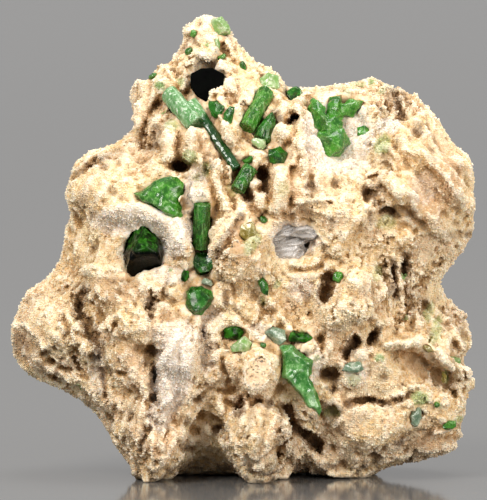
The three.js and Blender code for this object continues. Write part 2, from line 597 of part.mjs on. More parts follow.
// Every crystal as a list of convex pieces about the origin, each with its place and its turn.
function crystalPieces() {
  const crystals = [];
  for (const prism of PRISMS) crystals.push({ ...prism, pieces: [prismPiece(prism)] });
  CHIPS.forEach(([name, at, sunk, size, turn, finish], index) => {
    const place = seat(at, sunk);
    crystals.push({ name, finish, pieces: [[chipGeometry(size, index), place, turnInPlane(turn)]] });
  });
  for (const shard of SHARDS) {
    const geometry = shardGeometry(shard.points, shard.thick, shard.face, shard.lean);
    crystals.push({ ...shard, pieces: [[geometry, seat(shard.at, shard.sunk), turnInPlane(0)]] });
  }
  crystals.push({ ...LOWER_SHARD, pieces: LOWER_SHARD.outlines.map((points) => {
    const geometry = shardGeometry(points, LOWER_SHARD.thick, LOWER_SHARD.face);
    return [geometry, seat(LOWER_SHARD.at, LOWER_SHARD.sunk), turnInPlane(0)];
  }) });
  crystals.push({ ...LONG_PRISM, pieces: LONG_PRISM.parts.map(prismPiece) });
  for (const cluster of CLUSTERS) {
    crystals.push({ ...cluster, pieces: cluster.lobes.map(({ at, sunk, size, turn, lean }, index) =>
      [chipGeometry(size, 50 + index), seat(at, sunk), turnInPlane(turn, lean)]) });
  }
  return crystals;
}

const joined = (solids) => solids.reduce((sum, solid) => sum.add(solid));

function crystalSolid(pieces, gap) {
  return joined(pieces.map(([geometry, position, turn]) =>
    solidOf(placed(gap ? grown(geometry, gap) : geometry, position, turn))));
}

function meshOf(name, solid, finish) {
  const mesh = new THREE.Mesh(geometryOf(solid), new THREE.MeshStandardMaterial(finish));
  mesh.name = name;
  return mesh;
}

// The rock: its body with the stubs, less the caves, the sockets and what lies below the feet.
function rockSolid(crystals) {
  const belly = placed(lump(new THREE.Vector3(...BELLY_HALF), 1, 3), new THREE.Vector3(...BELLY_AT));
  let solid = joined([solidOf(rock.geometry), solidOf(belly), ...STUBS.map(stubSolid)]);
  CAVES.forEach(([x, z, sunk, across, depth, up], i) => {
    const hole = lump(new THREE.Vector3(across, depth, up), across > 2 ? 2 : 1, 5 * i);
    solid = solid.subtract(solidOf(placed(hole, seat([x, z], sunk))));
  });
  for (const { pieces } of crystals) solid = solid.subtract(crystalSolid(pieces, SOCKET_GAP));
  const ground = new THREE.BoxGeometry(100, 100, 20).translate(0, 0, -10);
  return solid.subtract(solidOf(ground));
}

const crystals = crystalPieces();
const specimen = new THREE.Group();
specimen.add(meshOf("matrix", rockSolid(crystals), ALBITE));
for (const { name, pieces, finish } of crystals) {
  specimen.add(meshOf(name, crystalSolid(pieces, 0), finish));
}

export default specimen;
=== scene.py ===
"""Tourmaline crystals in matrix: a hand-sized piece of sugary albite rock with green tourmaline
prisms and shards in its hollows, a few quartz blades, and the glossy table it stands on."""
import math

import bmesh
import bpy
import numpy as np
from mathutils import Matrix, Vector, noise
from mathutils.bvhtree import BVHTree


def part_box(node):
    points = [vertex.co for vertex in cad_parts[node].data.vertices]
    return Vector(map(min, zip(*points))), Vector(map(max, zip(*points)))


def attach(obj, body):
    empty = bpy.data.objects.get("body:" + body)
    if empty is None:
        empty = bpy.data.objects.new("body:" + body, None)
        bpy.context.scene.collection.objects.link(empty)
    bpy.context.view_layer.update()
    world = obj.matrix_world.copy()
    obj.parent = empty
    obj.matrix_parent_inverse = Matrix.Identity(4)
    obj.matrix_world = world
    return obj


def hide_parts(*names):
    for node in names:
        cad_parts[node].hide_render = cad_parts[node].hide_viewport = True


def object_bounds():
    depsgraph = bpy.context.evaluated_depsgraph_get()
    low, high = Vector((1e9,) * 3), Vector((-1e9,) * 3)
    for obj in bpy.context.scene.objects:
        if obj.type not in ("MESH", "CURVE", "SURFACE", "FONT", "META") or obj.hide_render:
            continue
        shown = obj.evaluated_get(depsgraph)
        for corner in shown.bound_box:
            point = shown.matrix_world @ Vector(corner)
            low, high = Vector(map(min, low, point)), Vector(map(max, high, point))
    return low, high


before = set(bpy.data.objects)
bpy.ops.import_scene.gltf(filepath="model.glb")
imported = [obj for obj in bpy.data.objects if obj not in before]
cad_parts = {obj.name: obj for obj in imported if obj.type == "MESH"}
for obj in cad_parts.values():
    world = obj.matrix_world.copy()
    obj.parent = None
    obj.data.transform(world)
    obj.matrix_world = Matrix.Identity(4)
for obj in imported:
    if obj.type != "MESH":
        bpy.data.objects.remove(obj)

cad_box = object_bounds()

# The rock
# One piece of albite, a cream to tan feldspar, grown as a mass of fine sugary grains and thin
# plates, weathered so that its creases and pits hold brown iron stain, deepened with painted shade;
# its clefts, hollows and underside are darkened with painted shade too. White quartz fills the
# bowl and stands as a column at the left. It is shaped here in millimetres, from the CAD rock.

MM = 0.001
LOOK_DOWN = math.radians(3.5)  # the eye looks down on the front this much
COARSE_VOXEL = 0.37  # mesh that the lumps are raised on
FINE_VOXEL = 0.31  # mesh that the grains are raised on
ROCK_TRIANGLES = 196000
CRYSTAL_REACH = 1.0  # rock this close to a crystal closes up to it
CRYSTAL_GAP = 0.4  # and from here on touches it

# Every form of the front is placed as the eye sees it: millimetres across from the middle, and
# up from the table. Ridges and creases: corners, half width, and height, which is negative
# where they are cut in.
RIDGES = [
    ([(-8.1, 60.8), (-7.5, 62.6), (-5.4, 63.5), (-3.4, 62.6), (-2.5, 60.8)], 0.6, 0.6),  # rim of the hood
    ([(-14.8, 58.1), (-15.1, 55.9), (-15.3, 53.9)], 0.9, 0.5),  # ribs down the left slope
    ([(-13.3, 55.1), (-12.8, 52.4), (-12.6, 50.3)], 0.8, 0.5),
    ([(-14.1, 49.1), (-12.9, 49.7), (-12.3, 49.4)], 0.4, -1.0),  # crevice at their foot
    ([(-12.8, 52.4), (-12.8, 50.3)], 0.3, -0.8),
    ([(-24.9, 45.2), (-23.4, 46.7), (-21.0, 47.9), (-18.1, 48.7)], 0.4, -0.8),  # crease of a shoulder
    ([(-21.6, 37.4), (-19.1, 38.9), (-15.9, 39.8), (-12.3, 39.5),  # smooth arch over the cave
      (-9.6, 37.4), (-8.4, 34.9)], 1.6, 0.3),
    ([(-4.2, 47.3), (-3.6, 43.9), (-2.4, 40.1)], 0.6, 0.7),  # flutes in the middle
    ([(-2.7, 47.9), (-1.8, 44.6), (-0.6, 40.9)], 0.4, 0.6),
    ([(-8.4, 42.8), (-8.4, 39.5)], 0.3, -1.2),  # slots beside the upright prism
    ([(-7.3, 39.8), (-7.3, 34.7)], 0.3, -1.2),
    ([(-7.9, 40.9), (-7.8, 35.6)], 0.3, 0.4),
    ([(0.3, 40.7), (-3.0, 37.7), (-6.5, 34.3)], 0.5, 0.9),  # upper edge of the flake
    ([(-3.7, 33.8), (-0.3, 39.0)], 0.3, -1.6),  # crack in it
    ([(8.2, 56.0), (8.5, 52.1), (9.2, 46.6)], 0.6, 0.9),  # rib between the vug and the bowl
    ([(5.0, 56.6), (6.9, 55.7), (8.2, 56.0)], 0.4, 0.5),
    ([(31.0, 36.5), (34.6, 36.5)], 0.4, -0.8),
    ([(21.8, 58.4), (21.9, 54.8)], 0.3, -0.7),  # flutes of the top right edge
    ([(22.9, 58.1), (23.6, 54.2)], 0.4, -0.8),
    ([(24.4, 57.8), (24.9, 55.4)], 0.3, -0.6),
    ([(20.4, 55.7), (21.3, 53.6)], 0.3, -0.8),
    ([(27.9, 49.1), (28.5, 47.2)], 0.2, -0.7),
    ([(-33.9, 22.6), (-31.8, 22.9), (-30.3, 20.8), (-28.9, 19.0)], 0.4, 0.5),  # facet of the left ear
    ([(-29.7, 18.5), (-28.8, 19.1)], 0.2, -1.0),
    ([(-23.8, 28.0), (-24.6, 24.5), (-22.9, 22.9),  # crevice between ear and cheek
      (-21.0, 19.7), (-21.0, 18.2)], 0.6, -1.6),
    ([(-25.5, 23.9), (-23.7, 19.9), (-22.5, 16.7)], 0.4, 0.6),
    ([(-27.0, 22.9), (-25.5, 19.1)], 0.4, 0.5),
    ([(-23.6, 31.0), (-19.1, 31.4), (-14.8, 30.2)], 0.6, 0.8),  # upper edge of the left cheek
    ([(-13.2, 15.8), (-13.0, 11.5)], 0.4, -1.8),  # crevice beside the quartz column
    ([(-9.9, 20.9), (-11.4, 16.9), (-11.4, 11.6)], 0.9, 0.9),  # the column
    ([(-14.5, 7.9), (-15.0, 4.4)], 0.2, -1.2),  # slits in the left foot
    ([(-16.3, 9.7), (-16.8, 8.6)], 0.2, -1.0),
    ([(-17.2, 7.1), (-17.4, 5.5)], 0.2, -0.7),
    ([(21.6, 19.7), (25.9, 20.3), (29.5, 18.4),  # slanting ridge at the right
      (31.5, 16.1), (34.0, 13.7)], 0.7, 1.2),
    ([(22.9, 18.5), (26.7, 17.3), (30.4, 14.0)], 1.1, -1.2),  # smooth hollow under it
    ([(15.6, 11.3), (18.8, 11.9), (21.6, 11.0), (25.1, 12.5)], 0.3, -1.2),  # crack along the right foot
    ([(16.2, 12.2), (19.5, 12.8), (22.5, 12.2), (25.8, 14.0)], 0.6, 0.6),
    ([(7.0, 10.4), (8.1, 8.0), (10.2, 5.6), (11.5, 4.6)], 0.6, -1.2),  # groove between two feet
    ([(12.4, 11.5), (14.4, 11.3), (14.7, 9.4), (13.8, 8.0)], 0.4, 0.5),
    ([(3.9, 11.3), (3.0, 7.1), (2.1, 2.3)], 0.3, -0.6),  # flutes of the middle foot
    ([(5.7, 10.9), (5.7, 6.8), (5.1, 1.9)], 0.3, -0.6),
    ([(7.5, 8.6), (7.5, 5.6), (7.2, 2.3)], 0.3, -0.5),
    ([(1.5, 10.9), (0.6, 7.1), (-0.3, 2.9)], 0.3, -0.5),
    ([(22.5, 32.3), (22.6, 27.2)], 0.3, -1.1),  # flutes right of the middle
    ([(24.3, 33.4), (24.4, 30.4)], 0.4, -1.2),
    ([(21.3, 32.3), (21.1, 28.1)], 0.3, 0.6),
    ([(23.4, 32.9), (23.7, 26.6)], 0.4, 0.7),
    ([(25.5, 30.4), (26.4, 22.9)], 0.4, 0.6),
    ([(24.9, 28.1), (25.5, 22.1)], 0.3, -0.6),
    ([(27.0, 26.6), (28.2, 21.4)], 0.4, -0.7),
    ([(20.2, 22.1), (18.8, 20.0)], 0.4, -1.6),  # slanting pockets under the right cheek
    ([(16.6, 20.5), (15.3, 18.4)], 0.6, -1.7),
    ([(13.0, 29.9), (12.2, 27.2)], 0.8, -1.8),
    ([(23.4, 4.7), (28.2, 5.6), (32.4, 5.9)], 0.3, -0.5),  # bands of the lower right edge
    ([(22.5, 5.9), (27.3, 7.0), (33.0, 7.9)], 0.3, -0.4),
    ([(24.4, 3.7), (29.7, 4.3)], 0.3, -0.5),
    ([(22.8, 5.0), (25.3, 6.7)], 0.4, -0.9),
]
# Bumps and pits: across, up, half width, half height, lean to the left in degrees, height.
SPOTS = [
    (-7.0, 66.4, 1.3, 1.3, 0, 0.5),  # knob
    (-4.2, 64.4, 1.1, 1.2, 0, 0.5),
    (-2.4, 64.1, 0.8, 1.2, 20, 0.4),
    (-11.8, 61.1, 1.5, 1.1, 0, 0.5),
    (-13.8, 59.6, 1.2, 1.1, 0, 0.4),
    (-22.2, 39.5, 0.4, 0.6, 0, -1.2),  # pits of the left shoulder
    (-19.5, 43.1, 0.4, 0.4, 0, -0.6),
    (-18.1, 41.8, 0.4, 0.4, 0, -0.6),
    (-20.6, 46.4, 0.6, 0.4, 0, -0.5),
    (-18.1, 47.2, 0.4, 0.4, 0, -0.5),
    (-13.7, 26.0, 0.8, 1.1, 0, -1.3),  # pits of the left cheek
    (-13.8, 24.2, 0.4, 0.6, 0, -1.0),
    (-11.1, 27.4, 0.4, 0.6, 0, -0.8),
    (-7.6, 23.6, 0.6, 0.6, 0, -1.0),
    (-2.4, 26.9, 0.4, 1.2, 0, -1.2),
    (26.1, 52.0, 1.2, 1.2, 0, -0.9),  # dimple and notch of the top right
    (23.8, 53.9, 0.8, 0.6, 0, -1.2),
    (9.9, 43.6, 0.9, 0.6, 20, -1.3),  # holes in the right half
    (13.8, 44.3, 0.8, 0.6, 0, -0.9),
    (18.8, 42.4, 0.9, 0.8, 0, -1.3),
    (20.7, 43.1, 0.6, 0.6, 0, -1.0),
    (21.6, 39.8, 1.2, 0.8, 0, -1.8),
    (13.2, 38.3, 0.4, 0.8, 20, -1.0),
    (19.3, 38.9, 0.4, 0.9, -10, -0.9),
    (25.1, 39.5, 0.8, 0.6, 0, -0.7),
    (15.6, 41.6, 0.4, 0.4, 0, -0.6),
    (2.7, 15.5, 3.0, 3.3, 0, 0.8),  # pale boss
    (2.1, 6.4, 5.4, 5.6, 0, 1.5),  # middle foot
    (13.2, 15.5, 1.5, 1.1, 0, -2.0),  # holes in the lower right
    (13.5, 13.7, 0.8, 0.6, 0, -1.2),
    (20.8, 14.9, 0.5, 0.4, 0, -0.9),
    (11.1, 20.9, 0.6, 0.4, 0, -1.0),
    (9.6, 18.8, 0.6, 0.4, 0, -1.0),
    (11.7, 18.2, 0.8, 0.8, 0, 0.5),
    (13.3, 10.0, 1.8, 1.3, 0, -1.3),
    (-0.4, 10.9, 0.8, 1.3, 0, -1.8),  # holes over the feet
    (-3.3, 7.1, 0.9, 0.8, 0, -1.5),
    (-6.6, 11.9, 0.8, 0.8, 0, -1.0),
    (-9.3, 11.2, 0.6, 0.4, 0, -0.8),
    (-8.5, 8.3, 0.9, 0.8, 0, -0.8),
    (-8.4, 4.4, 1.1, 0.6, -30, -1.1),
    (3.9, 11.5, 0.4, 0.4, 0, -1.0),
    (19.9, 3.2, 1.1, 0.6, 0, -1.0),
    (7.9, 35.9, 3.0, 1.9, -10, -0.8),  # hollow of the quartz
    (5.2, 53.9, 0.6, 0.9, 0, -1.5),  # gaps and nodules of the vug
    (7.8, 53.6, 0.8, 0.8, 0, -2.2),
    (3.0, 45.4, 0.8, 1.3, 0, -2.0),
    (0.9, 42.2, 0.9, 0.8, 0, -1.6),
    (6.1, 54.8, 1.5, 1.3, 0, 1.0),
    (5.7, 51.5, 1.3, 1.2, 0, 0.8),
    (1.8, 43.9, 0.9, 0.9, 0, 1.0),
    (2.7, 41.3, 0.9, 1.3, 0, 0.9),
    (2.5, 47.8, 1.1, 0.9, 0, 0.7),
    (-9.2, 46.7, 1.1, 0.5, 0, -1.6),
    (-5.2, 47.5, 0.6, 0.8, 0, -1.4),
    (-6.0, 46.4, 0.8, 1.3, 20, 0.8),
    (-19.3, 29.0, 3.3, 2.1, 0, -0.5),  # flat facets at the left
    (-32.7, 19.7, 2.2, 2.7, 0, -0.8),
]
# Columns, nodules and ribs: corners, radius, and how far they stand out.
COLUMNS = [
    ([(-10.9, 51.6), (-10.9, 48.2)], 1.2, 1.5),  # feldspar columns of the vug
    ([(-7.7, 52.6), (-7.9, 48.6)], 1.25, 1.7),
    ([(-6.6, 48.0), (-6.0, 46.4)], 0.5, 0.9),
    ([(-4.8, 47.4), (-3.4, 43.4), (-2.2, 40.2)], 0.8, 1.2),
    ([(-1.0, 54.4), (-2.2, 50.6)], 1.5, 1.6),
    ([(6.2, 54.8), (6.1, 54.7)], 1.4, 1.5),
    ([(6.2, 51.8), (6.3, 51.4)], 1.2, 1.1),
    ([(7.8, 50.4), (7.4, 47.2)], 0.9, 1.2),
    ([(5.6, 45.6), (5.5, 43.4), (5.2, 41.0)], 1.5, 2.2),
    ([(1.8, 43.9), (1.8, 43.8)], 0.95, 1.3),
    ([(2.8, 42.4), (3.0, 40.8)], 0.9, 1.2),
    ([(1.6, 48.9), (3.4, 48.4)], 0.7, 0.8),
    ([(5.6, 57.0), (7.2, 55.9), (8.4, 56.2)], 0.5, 0.9),
    ([(8.6, 57.8), (8.5, 52.1), (9.4, 45.8)], 0.75, 1.4),  # rib between the vug and the bowl
    ([(-2.5, 66.4), (-1.6, 64.2), (0.2, 62.4)], 0.7, 0.7),  # right shoulder of the knob
    ([(-8.9, 58.6), (-8.6, 61.6), (-6.9, 63.6), (-4.0, 63.6), (-2.2, 61.4), (-1.4, 58.0)],
     0.8, 1.1),  # hood
    ([(2.9, 16.4), (2.6, 14.8)], 3.0, 2.2),  # pale boss
    ([(-9.6, 20.8), (-10.2, 17.2)], 3.2, 1.0),  # quartz column
    ([(-10.4, 17.4), (-11.8, 10.6)], 2.2, 0.8),
    ([(-30.6, 24.6), (-29.4, 22.6)], 3.0, 1.0),  # left ear
    ([(24.6, 49.8), (25.6, 47.6)], 2.2, 1.0),  # boss beside the bowl
    ([(21.2, 48.7), (21.4, 45.3), (24.1, 42.2),  # slanting folds of the right lobe
      (27.2, 39.8), (30.3, 37.0)], 1.5, 2.2),
    ([(24.1, 50.1), (28.8, 47.2), (31.7, 44.1), (33.9, 40.8)], 1.4, 1.9),
    ([(22.0, 19.9), (26.4, 20.6), (29.8, 18.4), (31.8, 16.1), (34.0, 13.9)], 0.9, 1.5),
    ([(14.2, 26.4), (16.6, 27.4)], 4.2, 1.6),  # cheek right of the middle
    ([(12.4, 11.5), (14.4, 11.6), (14.9, 9.6), (13.9, 7.8)], 0.5, 0.8),
    ([(17.6, 8.6), (22.2, 7.4)], 3.2, 1.2),  # swelling of the right foot
    ([(14.6, 5.2), (16.6, 2.2)], 1.1, 0.9),  # its toe
]
# Plates: the two ends of the edge, how wide the plate is, and how far its edge stands out. It
# falls off gently to the right of the edge, seen along it.
PLATES = [
    ((-7.2, 32.8), (0.6, 41.0), 7.0, 3.0),  # flake in the middle
    ((-23.8, 30.8), (-13.4, 30.6), 5.4, 2.0),  # facet of the left cheek
    ((-34.6, 23.2), (-28.6, 19.4), 4.4, 0.9),  # facet of the left ear
    ((7.0, 41.5), (16.6, 42.2), 4.4, 1.2),  # brow of the right cheek
    ((21.6, 59.6), (26.4, 52.0), 3.0, -0.9),
    ((15.2, 12.6), (26.0, 13.6), 2.4, -0.8),  # step of the right foot
]
# Clefts and holes: corners, radius, depth.
CLEFTS = [
    ([(-23.9, 28.2), (-24.5, 25.4), (-22.9, 22.6), (-21.4, 19.4)], 0.75, 3.2),  # ear and cheek
    ([(-13.2, 16.4), (-13.3, 11.8)], 0.7, 3.2),  # beside the quartz column
    ([(-13.4, 19.8), (-14.2, 17.4)], 0.8, 1.6),
    ([(-5.6, 20.8), (-5.2, 17.4)], 0.7, 1.5),
    ([(-8.3, 43.4), (-8.2, 36.2)], 0.35, 2.4),  # slots beside the upright prism
    ([(-3.9, 40.4), (-4.2, 37.4)], 0.4, 1.8),
    ([(-10.3, 46.7), (-8.2, 46.6)], 0.6, 2.6),  # dark gaps of the vug
    ([(-5.4, 47.2), (-5.2, 46.0)], 0.5, 2.4),
    ([(3.1, 46.0), (3.3, 43.4)], 0.8, 3.0),
    ([(0.9, 42.6), (0.9, 42.1)], 0.8, 2.4),
    ([(7.9, 53.7), (7.9, 53.2)], 0.75, 3.0),
    ([(5.0, 55.2), (4.9, 53.4)], 0.5, 1.8),
    ([(-14.4, 8.2), (-15.0, 4.4)], 0.3, 1.6),  # slits of the left foot
    ([(-16.2, 10.8), (-16.8, 8.8)], 0.35, 1.4),
    ([(-9.4, 5.2), (-7.4, 4.2)], 0.5, 1.2),
    ([(22.5, 32.0), (22.6, 27.4)], 0.4, 2.4),  # slots right of the middle
    ([(24.3, 33.4), (24.4, 30.4)], 0.55, 2.6),
    ([(25.9, 28.6), (26.6, 24.0)], 0.3, 1.2),
    ([(15.6, 11.3), (18.8, 11.9), (21.6, 11.0), (24.6, 12.2)], 0.35, 1.8),
    ([(13.0, 30.2), (12.2, 27.2)], 0.85, 2.8),
    ([(20.3, 22.2), (18.9, 20.2)], 0.55, 2.8),  # pockets under the cheek
    ([(16.7, 20.5), (15.5, 18.8)], 0.75, 2.6),
    ([(12.2, 15.8), (13.6, 15.2)], 1.3, 3.0),
    ([(13.4, 13.4), (13.6, 13.2)], 0.7, 1.8),
    ([(20.9, 15.0), (21.0, 14.9)], 0.5, 1.2),
    ([(22.9, 57.5), (23.8, 54.0)], 0.5, 1.8),
    ([(21.9, 39.9), (23.4, 39.2)], 1.0, 2.4),
    ([(18.6, 42.6), (18.9, 42.4)], 0.8, 1.8),
    ([(9.9, 43.6), (10.1, 43.5)], 0.7, 1.6),
    ([(21.4, 48.4), (21.6, 46.6)], 1.0, 2.4),  # dark corner of the bowl
    ([(26.1, 52.1), (26.2, 52.0)], 0.9, 1.2),
    ([(6.6, 11.0), (8.1, 8.0), (10.2, 5.4), (11.6, 3.8)], 0.7, 2.2),
    ([(-0.4, 11.6), (-0.4, 10.2)], 0.8, 2.4),
    ([(-3.3, 7.3), (-3.3, 6.9)], 0.9, 2.2),
    ([(-13.8, 26.6), (-13.6, 24.0)], 0.6, 1.6),
    ([(-2.3, 27.8), (-2.4, 26.0)], 0.5, 1.6),
]
# Smooth hollows, left clear inside of stain and painted shade: corners, radius, depth.
SCOOPS = [
    ([(22.9, 18.4), (26.5, 17.0), (29.9, 14.9)], 2.1, 2.0),  # under the slanting ridge
    ([(-5.3, 62.0), (-5.3, 60.6)], 2.4, 1.5),  # niche over the socket crystal
    ([(12.6, 51.6), (14.6, 49.4)], 4.6, 1.2),  # bowl
    ([(25.6, 47.2), (28.6, 42.9), (31.6, 38.8)], 2.3, 2.0),  # between the folds
    ([(-17.4, 35.8), (-13.4, 36.2), (-12.2, 33.6)], 4.6, 1.3),  # dish round the cave
]
# Zones: across, up, half width, half height, lean to the left in degrees, strength. Calm
# faces have few grains and pits.
CALM = [
    (-5.4, 62.3, 2.1, 1.8, 0, 0.9),  # hood
    (-20.5, 43.5, 4.6, 3.8, 0, 0.5),  # left shoulder
    (-18.8, 38.3, 3.2, 2.2, 20, 0.95),  # arch over the cave
    (-13.8, 39.3, 4.0, 2.2, -5, 0.95),
    (-10.2, 36.0, 2.6, 3.6, -25, 0.95),
    (26.7, 16.9, 5.1, 1.5, -36, 0.9),  # hollow under the slanting ridge
    (-2.1, 36.2, 3.9, 2.2, 43, 0.6),  # flake
    (5.5, 43.1, 1.3, 3.9, 0, 0.8),  # feldspar in the vug
    (7.6, 47.6, 1.1, 3.8, 0, 0.8),
    (-10.9, 49.7, 1.5, 2.9, 0, 0.8),
    (-7.8, 49.4, 1.8, 2.7, 0, 0.7),
    (6.1, 54.8, 1.6, 1.5, 0, 0.8),
    (5.7, 51.5, 1.3, 1.2, 0, 0.8),
    (1.8, 43.9, 1.1, 1.1, 0, 0.8),
    (2.7, 41.3, 1.1, 1.5, 0, 0.8),
    (-32.7, 19.7, 2.2, 2.7, 0, 0.7),  # facets at the left
    (-19.3, 29.3, 3.6, 1.9, 0, 0.5),
    (13.3, 10.0, 1.6, 1.3, 0, 0.7),
    (26.1, 52.0, 1.6, 1.5, 0, 0.7),
    (-10.8, 16.4, 3.0, 6.6, -8, 0.9),  # quartz column
    (13.9, 51.4, 5.1, 4.8, 0, 0.5),  # bowl
    (28.2, 5.6, 5.7, 1.5, 5, 0.7),  # lower right bands
    (28.5, 44.9, 6.5, 10, -35, 0.9),  # folds
]
# Faces that weathered to a rosy tan, and on the flake's right face a tan that is painted shade.
TAN = [
    (-19.0, 28.2, 4.2, 2.6, 0, 0.9),
    (-32.0, 19.9, 3.0, 3.2, 0, 0.8),
    (28.5, 43.0, 3.2, 6.5, -35, 0.9),
    (25.0, 56.0, 2.2, 3.5, -35, 0.6),
    (26.7, 16.9, 4.8, 1.8, -34, 0.9),
    (29.7, 5.6, 4.5, 2.0, 5, 0.7),
    (-14.0, 5.0, 4.5, 3.5, 0, 0.6),
    (12.0, 21.5, 3.0, 2.0, 0, 0.6),
    (8.0, 39.8, 2.6, 2.8, 0, 0.8),
    # The flake's right face: the tan here is painted shade.
    (-0.4, 34.8, 3.8, 2.8, 43, 1.0),
    (-17.0, 18.0, 2.2, 5.0, 15, 0.6),
]
# White quartz, and over the niche painted light.
WHITE = [
    (12.9, 50.9, 4, 5.1, 0, 1),  # bowl
    (16.5, 51.4, 3.3, 4.2, 0, 0.9),
    (21.6, 52.6, 1.9, 1.2, 0, 0.9),
    # Painted light: the niche under the hood is paled towards white.
    (-5.3, 61.9, 2.0, 1.6, 0, 0.35),  # niche
    (14.7, 46.7, 4.5, 1.3, 0, 0.8),
    (-10.2, 16.6, 3.0, 6.8, -8, 1),  # column
    (-12.3, 9.4, 1.8, 2.4, 0, 0.7),
    (-5.5, 18.8, 1.9, 3.3, 0, 0.5),  # beside it
    (-9.9, 21.4, 3.6, 1.9, 0, 0.7),
    (-6.9, 43.1, 1.8, 3.3, 0, 0.75),  # under the vug
    (-7.8, 36.8, 0.6, 2.4, 0, 0.8),
    (-10.8, 30.4, 2.7, 1.3, 0, 0.7),  # below the cave
    (-15.9, 38.4, 6.4, 2.4, 0, 0.85),  # arch
    (-10.2, 36.0, 2.2, 3.4, -25, 0.9),
    (10.5, 16.4, 1.3, 3, -10, 0.7),  # beside the lower shard
    (7.8, 35.9, 3.9, 2.2, -10, 0.9),  # around the quartz blades
    (8.7, 28.4, 1.9, 2.1, 0, 0.6),
    (26.7, 43.1, 2.2, 2.4, -30, 0.4),  # upper right lobe
    (-21.6, 15.8, 1.3, 3.6, 0, 0.45),  # left foot's edge
    (16.8, 15.8, 1.9, 1.8, 0, 0.6),  # under the pocket
    (-4.8, 23.6, 2.1, 2.1, 0, 0.5),
    (3.0, 22.1, 2.4, 1.2, -20, 0.5),
]
# Specks of green tourmaline in the skin.
GREEN = [
    (-12.3, 58.6, 0.9, 0.6, -20, 0.9),  # on the knob and its shoulders
    (-9.3, 59.2, 0.6, 0.6, 0, 0.6),
    (-11.8, 54.5, 0.24, 0.24, 0, 1),
    (-5.4, 64.9, 0.24, 0.3, 0, 0.8),
    (-10.5, 52.6, 0.9, 0.9, 0, 0.5),  # in the vug
    (-7.8, 47.9, 1.2, 0.9, 0, 0.6),
    (-5.5, 46.1, 0.75, 1.2, 0, 0.4),
    (-6.9, 44.9, 0.75, 0.6, 0, 0.3),
    (-1.6, 43.1, 0.6, 1.2, 20, 0.3),
    (6.0, 43.1, 0.9, 1.2, 0, 0.25),
    (19.5, 59.3, 0.6, 0.45, 0, 0.8),  # along the top right edge
    (17.7, 59.0, 0.75, 0.45, 0, 0.5),
    (15.8, 57.8, 0.6, 0.6, 0, 0.4),
    (20.7, 57.8, 0.6, 0.6, 0, 0.4),
    (20.7, 49.7, 1.1, 1.3, -20, 0.6),  # corner of the bowl
    (21.3, 50.6, 0.9, 0.75, 0, 0.5),
    (21.4, 38.0, 1.5, 1.2, 0, 0.35),  # right half
    (24.3, 30.2, 0.33, 0.53, 0, 0.9),
    (20.1, 30.8, 0.75, 1.2, -20, 0.4),
    (24.3, 24.1, 0.3, 0.3, 0, 1),
    (28.8, 22.1, 0.75, 2.4, -15, 0.5),
    (27.9, 24.8, 0.6, 1.5, -15, 0.4),
    (26.7, 12.1, 1.3, 1.1, -20, 0.7),  # lower right
    (29.1, 11.0, 0.39, 0.45, 0, 1),
    (26.1, 11.6, 0.45, 0.75, 0, 0.6),
    (32.5, 8.8, 0.75, 0.6, 0, 0.5),
    (30.4, 15.1, 0.39, 1.2, 0, 0.7),
    (20.4, 17.9, 0.6, 0.51, 0, 0.8),
    (16.5, 14.9, 1.2, 0.9, 0, 0.4),
    (-24.3, 13.4, 0.24, 0.3, 0, 1),  # left
    (1.5, 35.2, 1.1, 2.1, -25, 0.5),  # beside the flake
    (5.1, 29.0, 0.45, 0.75, 0, 0.5),
    (3.0, 26.6, 0.45, 0.75, 0, 0.4),
    (8.7, 21.4, 1.1, 0.75, -10, 0.5),
    (10.8, 17.9, 0.45, 0.75, 0, 0.5),
    (13.3, 10.0, 1.3, 0.9, 0, 0.3),
    (-6.3, 32.3, 1.2, 0.9, 0, 0.3),
    (-10.5, 31.0, 0.45, 0.36, 0, 0.7),
]
# Where furrows run: a zone, with the way that they run in degrees before its strength.
FLOWS = [
    (27.4, 44.9, 7.8, 9.9, 0, -50, 0.5),  # upper right lobe
    (22.9, 56.6, 6.3, 3.6, 0, -95, 0.7),  # top right edge
    (23.7, 28.1, 5.1, 7.2, 0, -83, 0.9),  # right of the middle
    (28.2, 12.4, 6.6, 5.7, 0, -30, 0.5),  # lower right
    (28.2, 5.6, 6.6, 2.4, 0, 5, 0.8),
    (3.0, 6.8, 6.3, 7.2, 0, -101, 0.55),  # middle foot
    (10.9, 5.6, 3.9, 5.4, 0, -54, 0.7),  # and right of it
    (-14.5, 8.6, 6.3, 7.5, 0, -97, 0.7),  # left foot
    (-23.7, 21.8, 4.8, 7.8, 0, -67, 0.8),  # left ear and cheek
    (-16.8, 26.6, 5.4, 4.8, 0, -50, 0.4),
    (-11.1, 16.7, 2.5, 7.2, 0, -98, 0.6),  # quartz column
    (-14.4, 54.8, 3, 6.6, 0, -92, 0.7),  # left slope
    (-2.5, 43.4, 3.3, 5.7, 0, -75, 0.8),  # vug
    (9.2, 50.6, 1.5, 6.3, 0, -88, 0.6),  # rib
    (10.2, 36.8, 4.8, 3.9, 0, -30, 0.5),  # below the bowl
    (5.0, 26.3, 7.2, 5.7, 0, -50, 0.5),  # under the flake
    (-2.1, 35.6, 4.5, 2.7, 43, 43, 0.6),  # flake
]


def points_of(mesh):
    values = np.empty(3 * len(mesh.vertices), np.float32)
    mesh.vertices.foreach_get("co", values)
    return values.reshape(-1, 3).astype(float)


def set_points(mesh, points):
    mesh.vertices.foreach_set("co", points.astype(np.float32).ravel())
    mesh.update()


def normals_of(mesh):
    values = np.empty(3 * len(mesh.vertices), np.float32)
    mesh.vertex_normals.foreach_get("vector", values)
    return values.reshape(-1, 3).astype(float)


def edges_of(mesh):
    values = np.empty(2 * len(mesh.edges), np.int32)
    mesh.edges.foreach_get("vertices", values)
    return values.reshape(-1, 2)


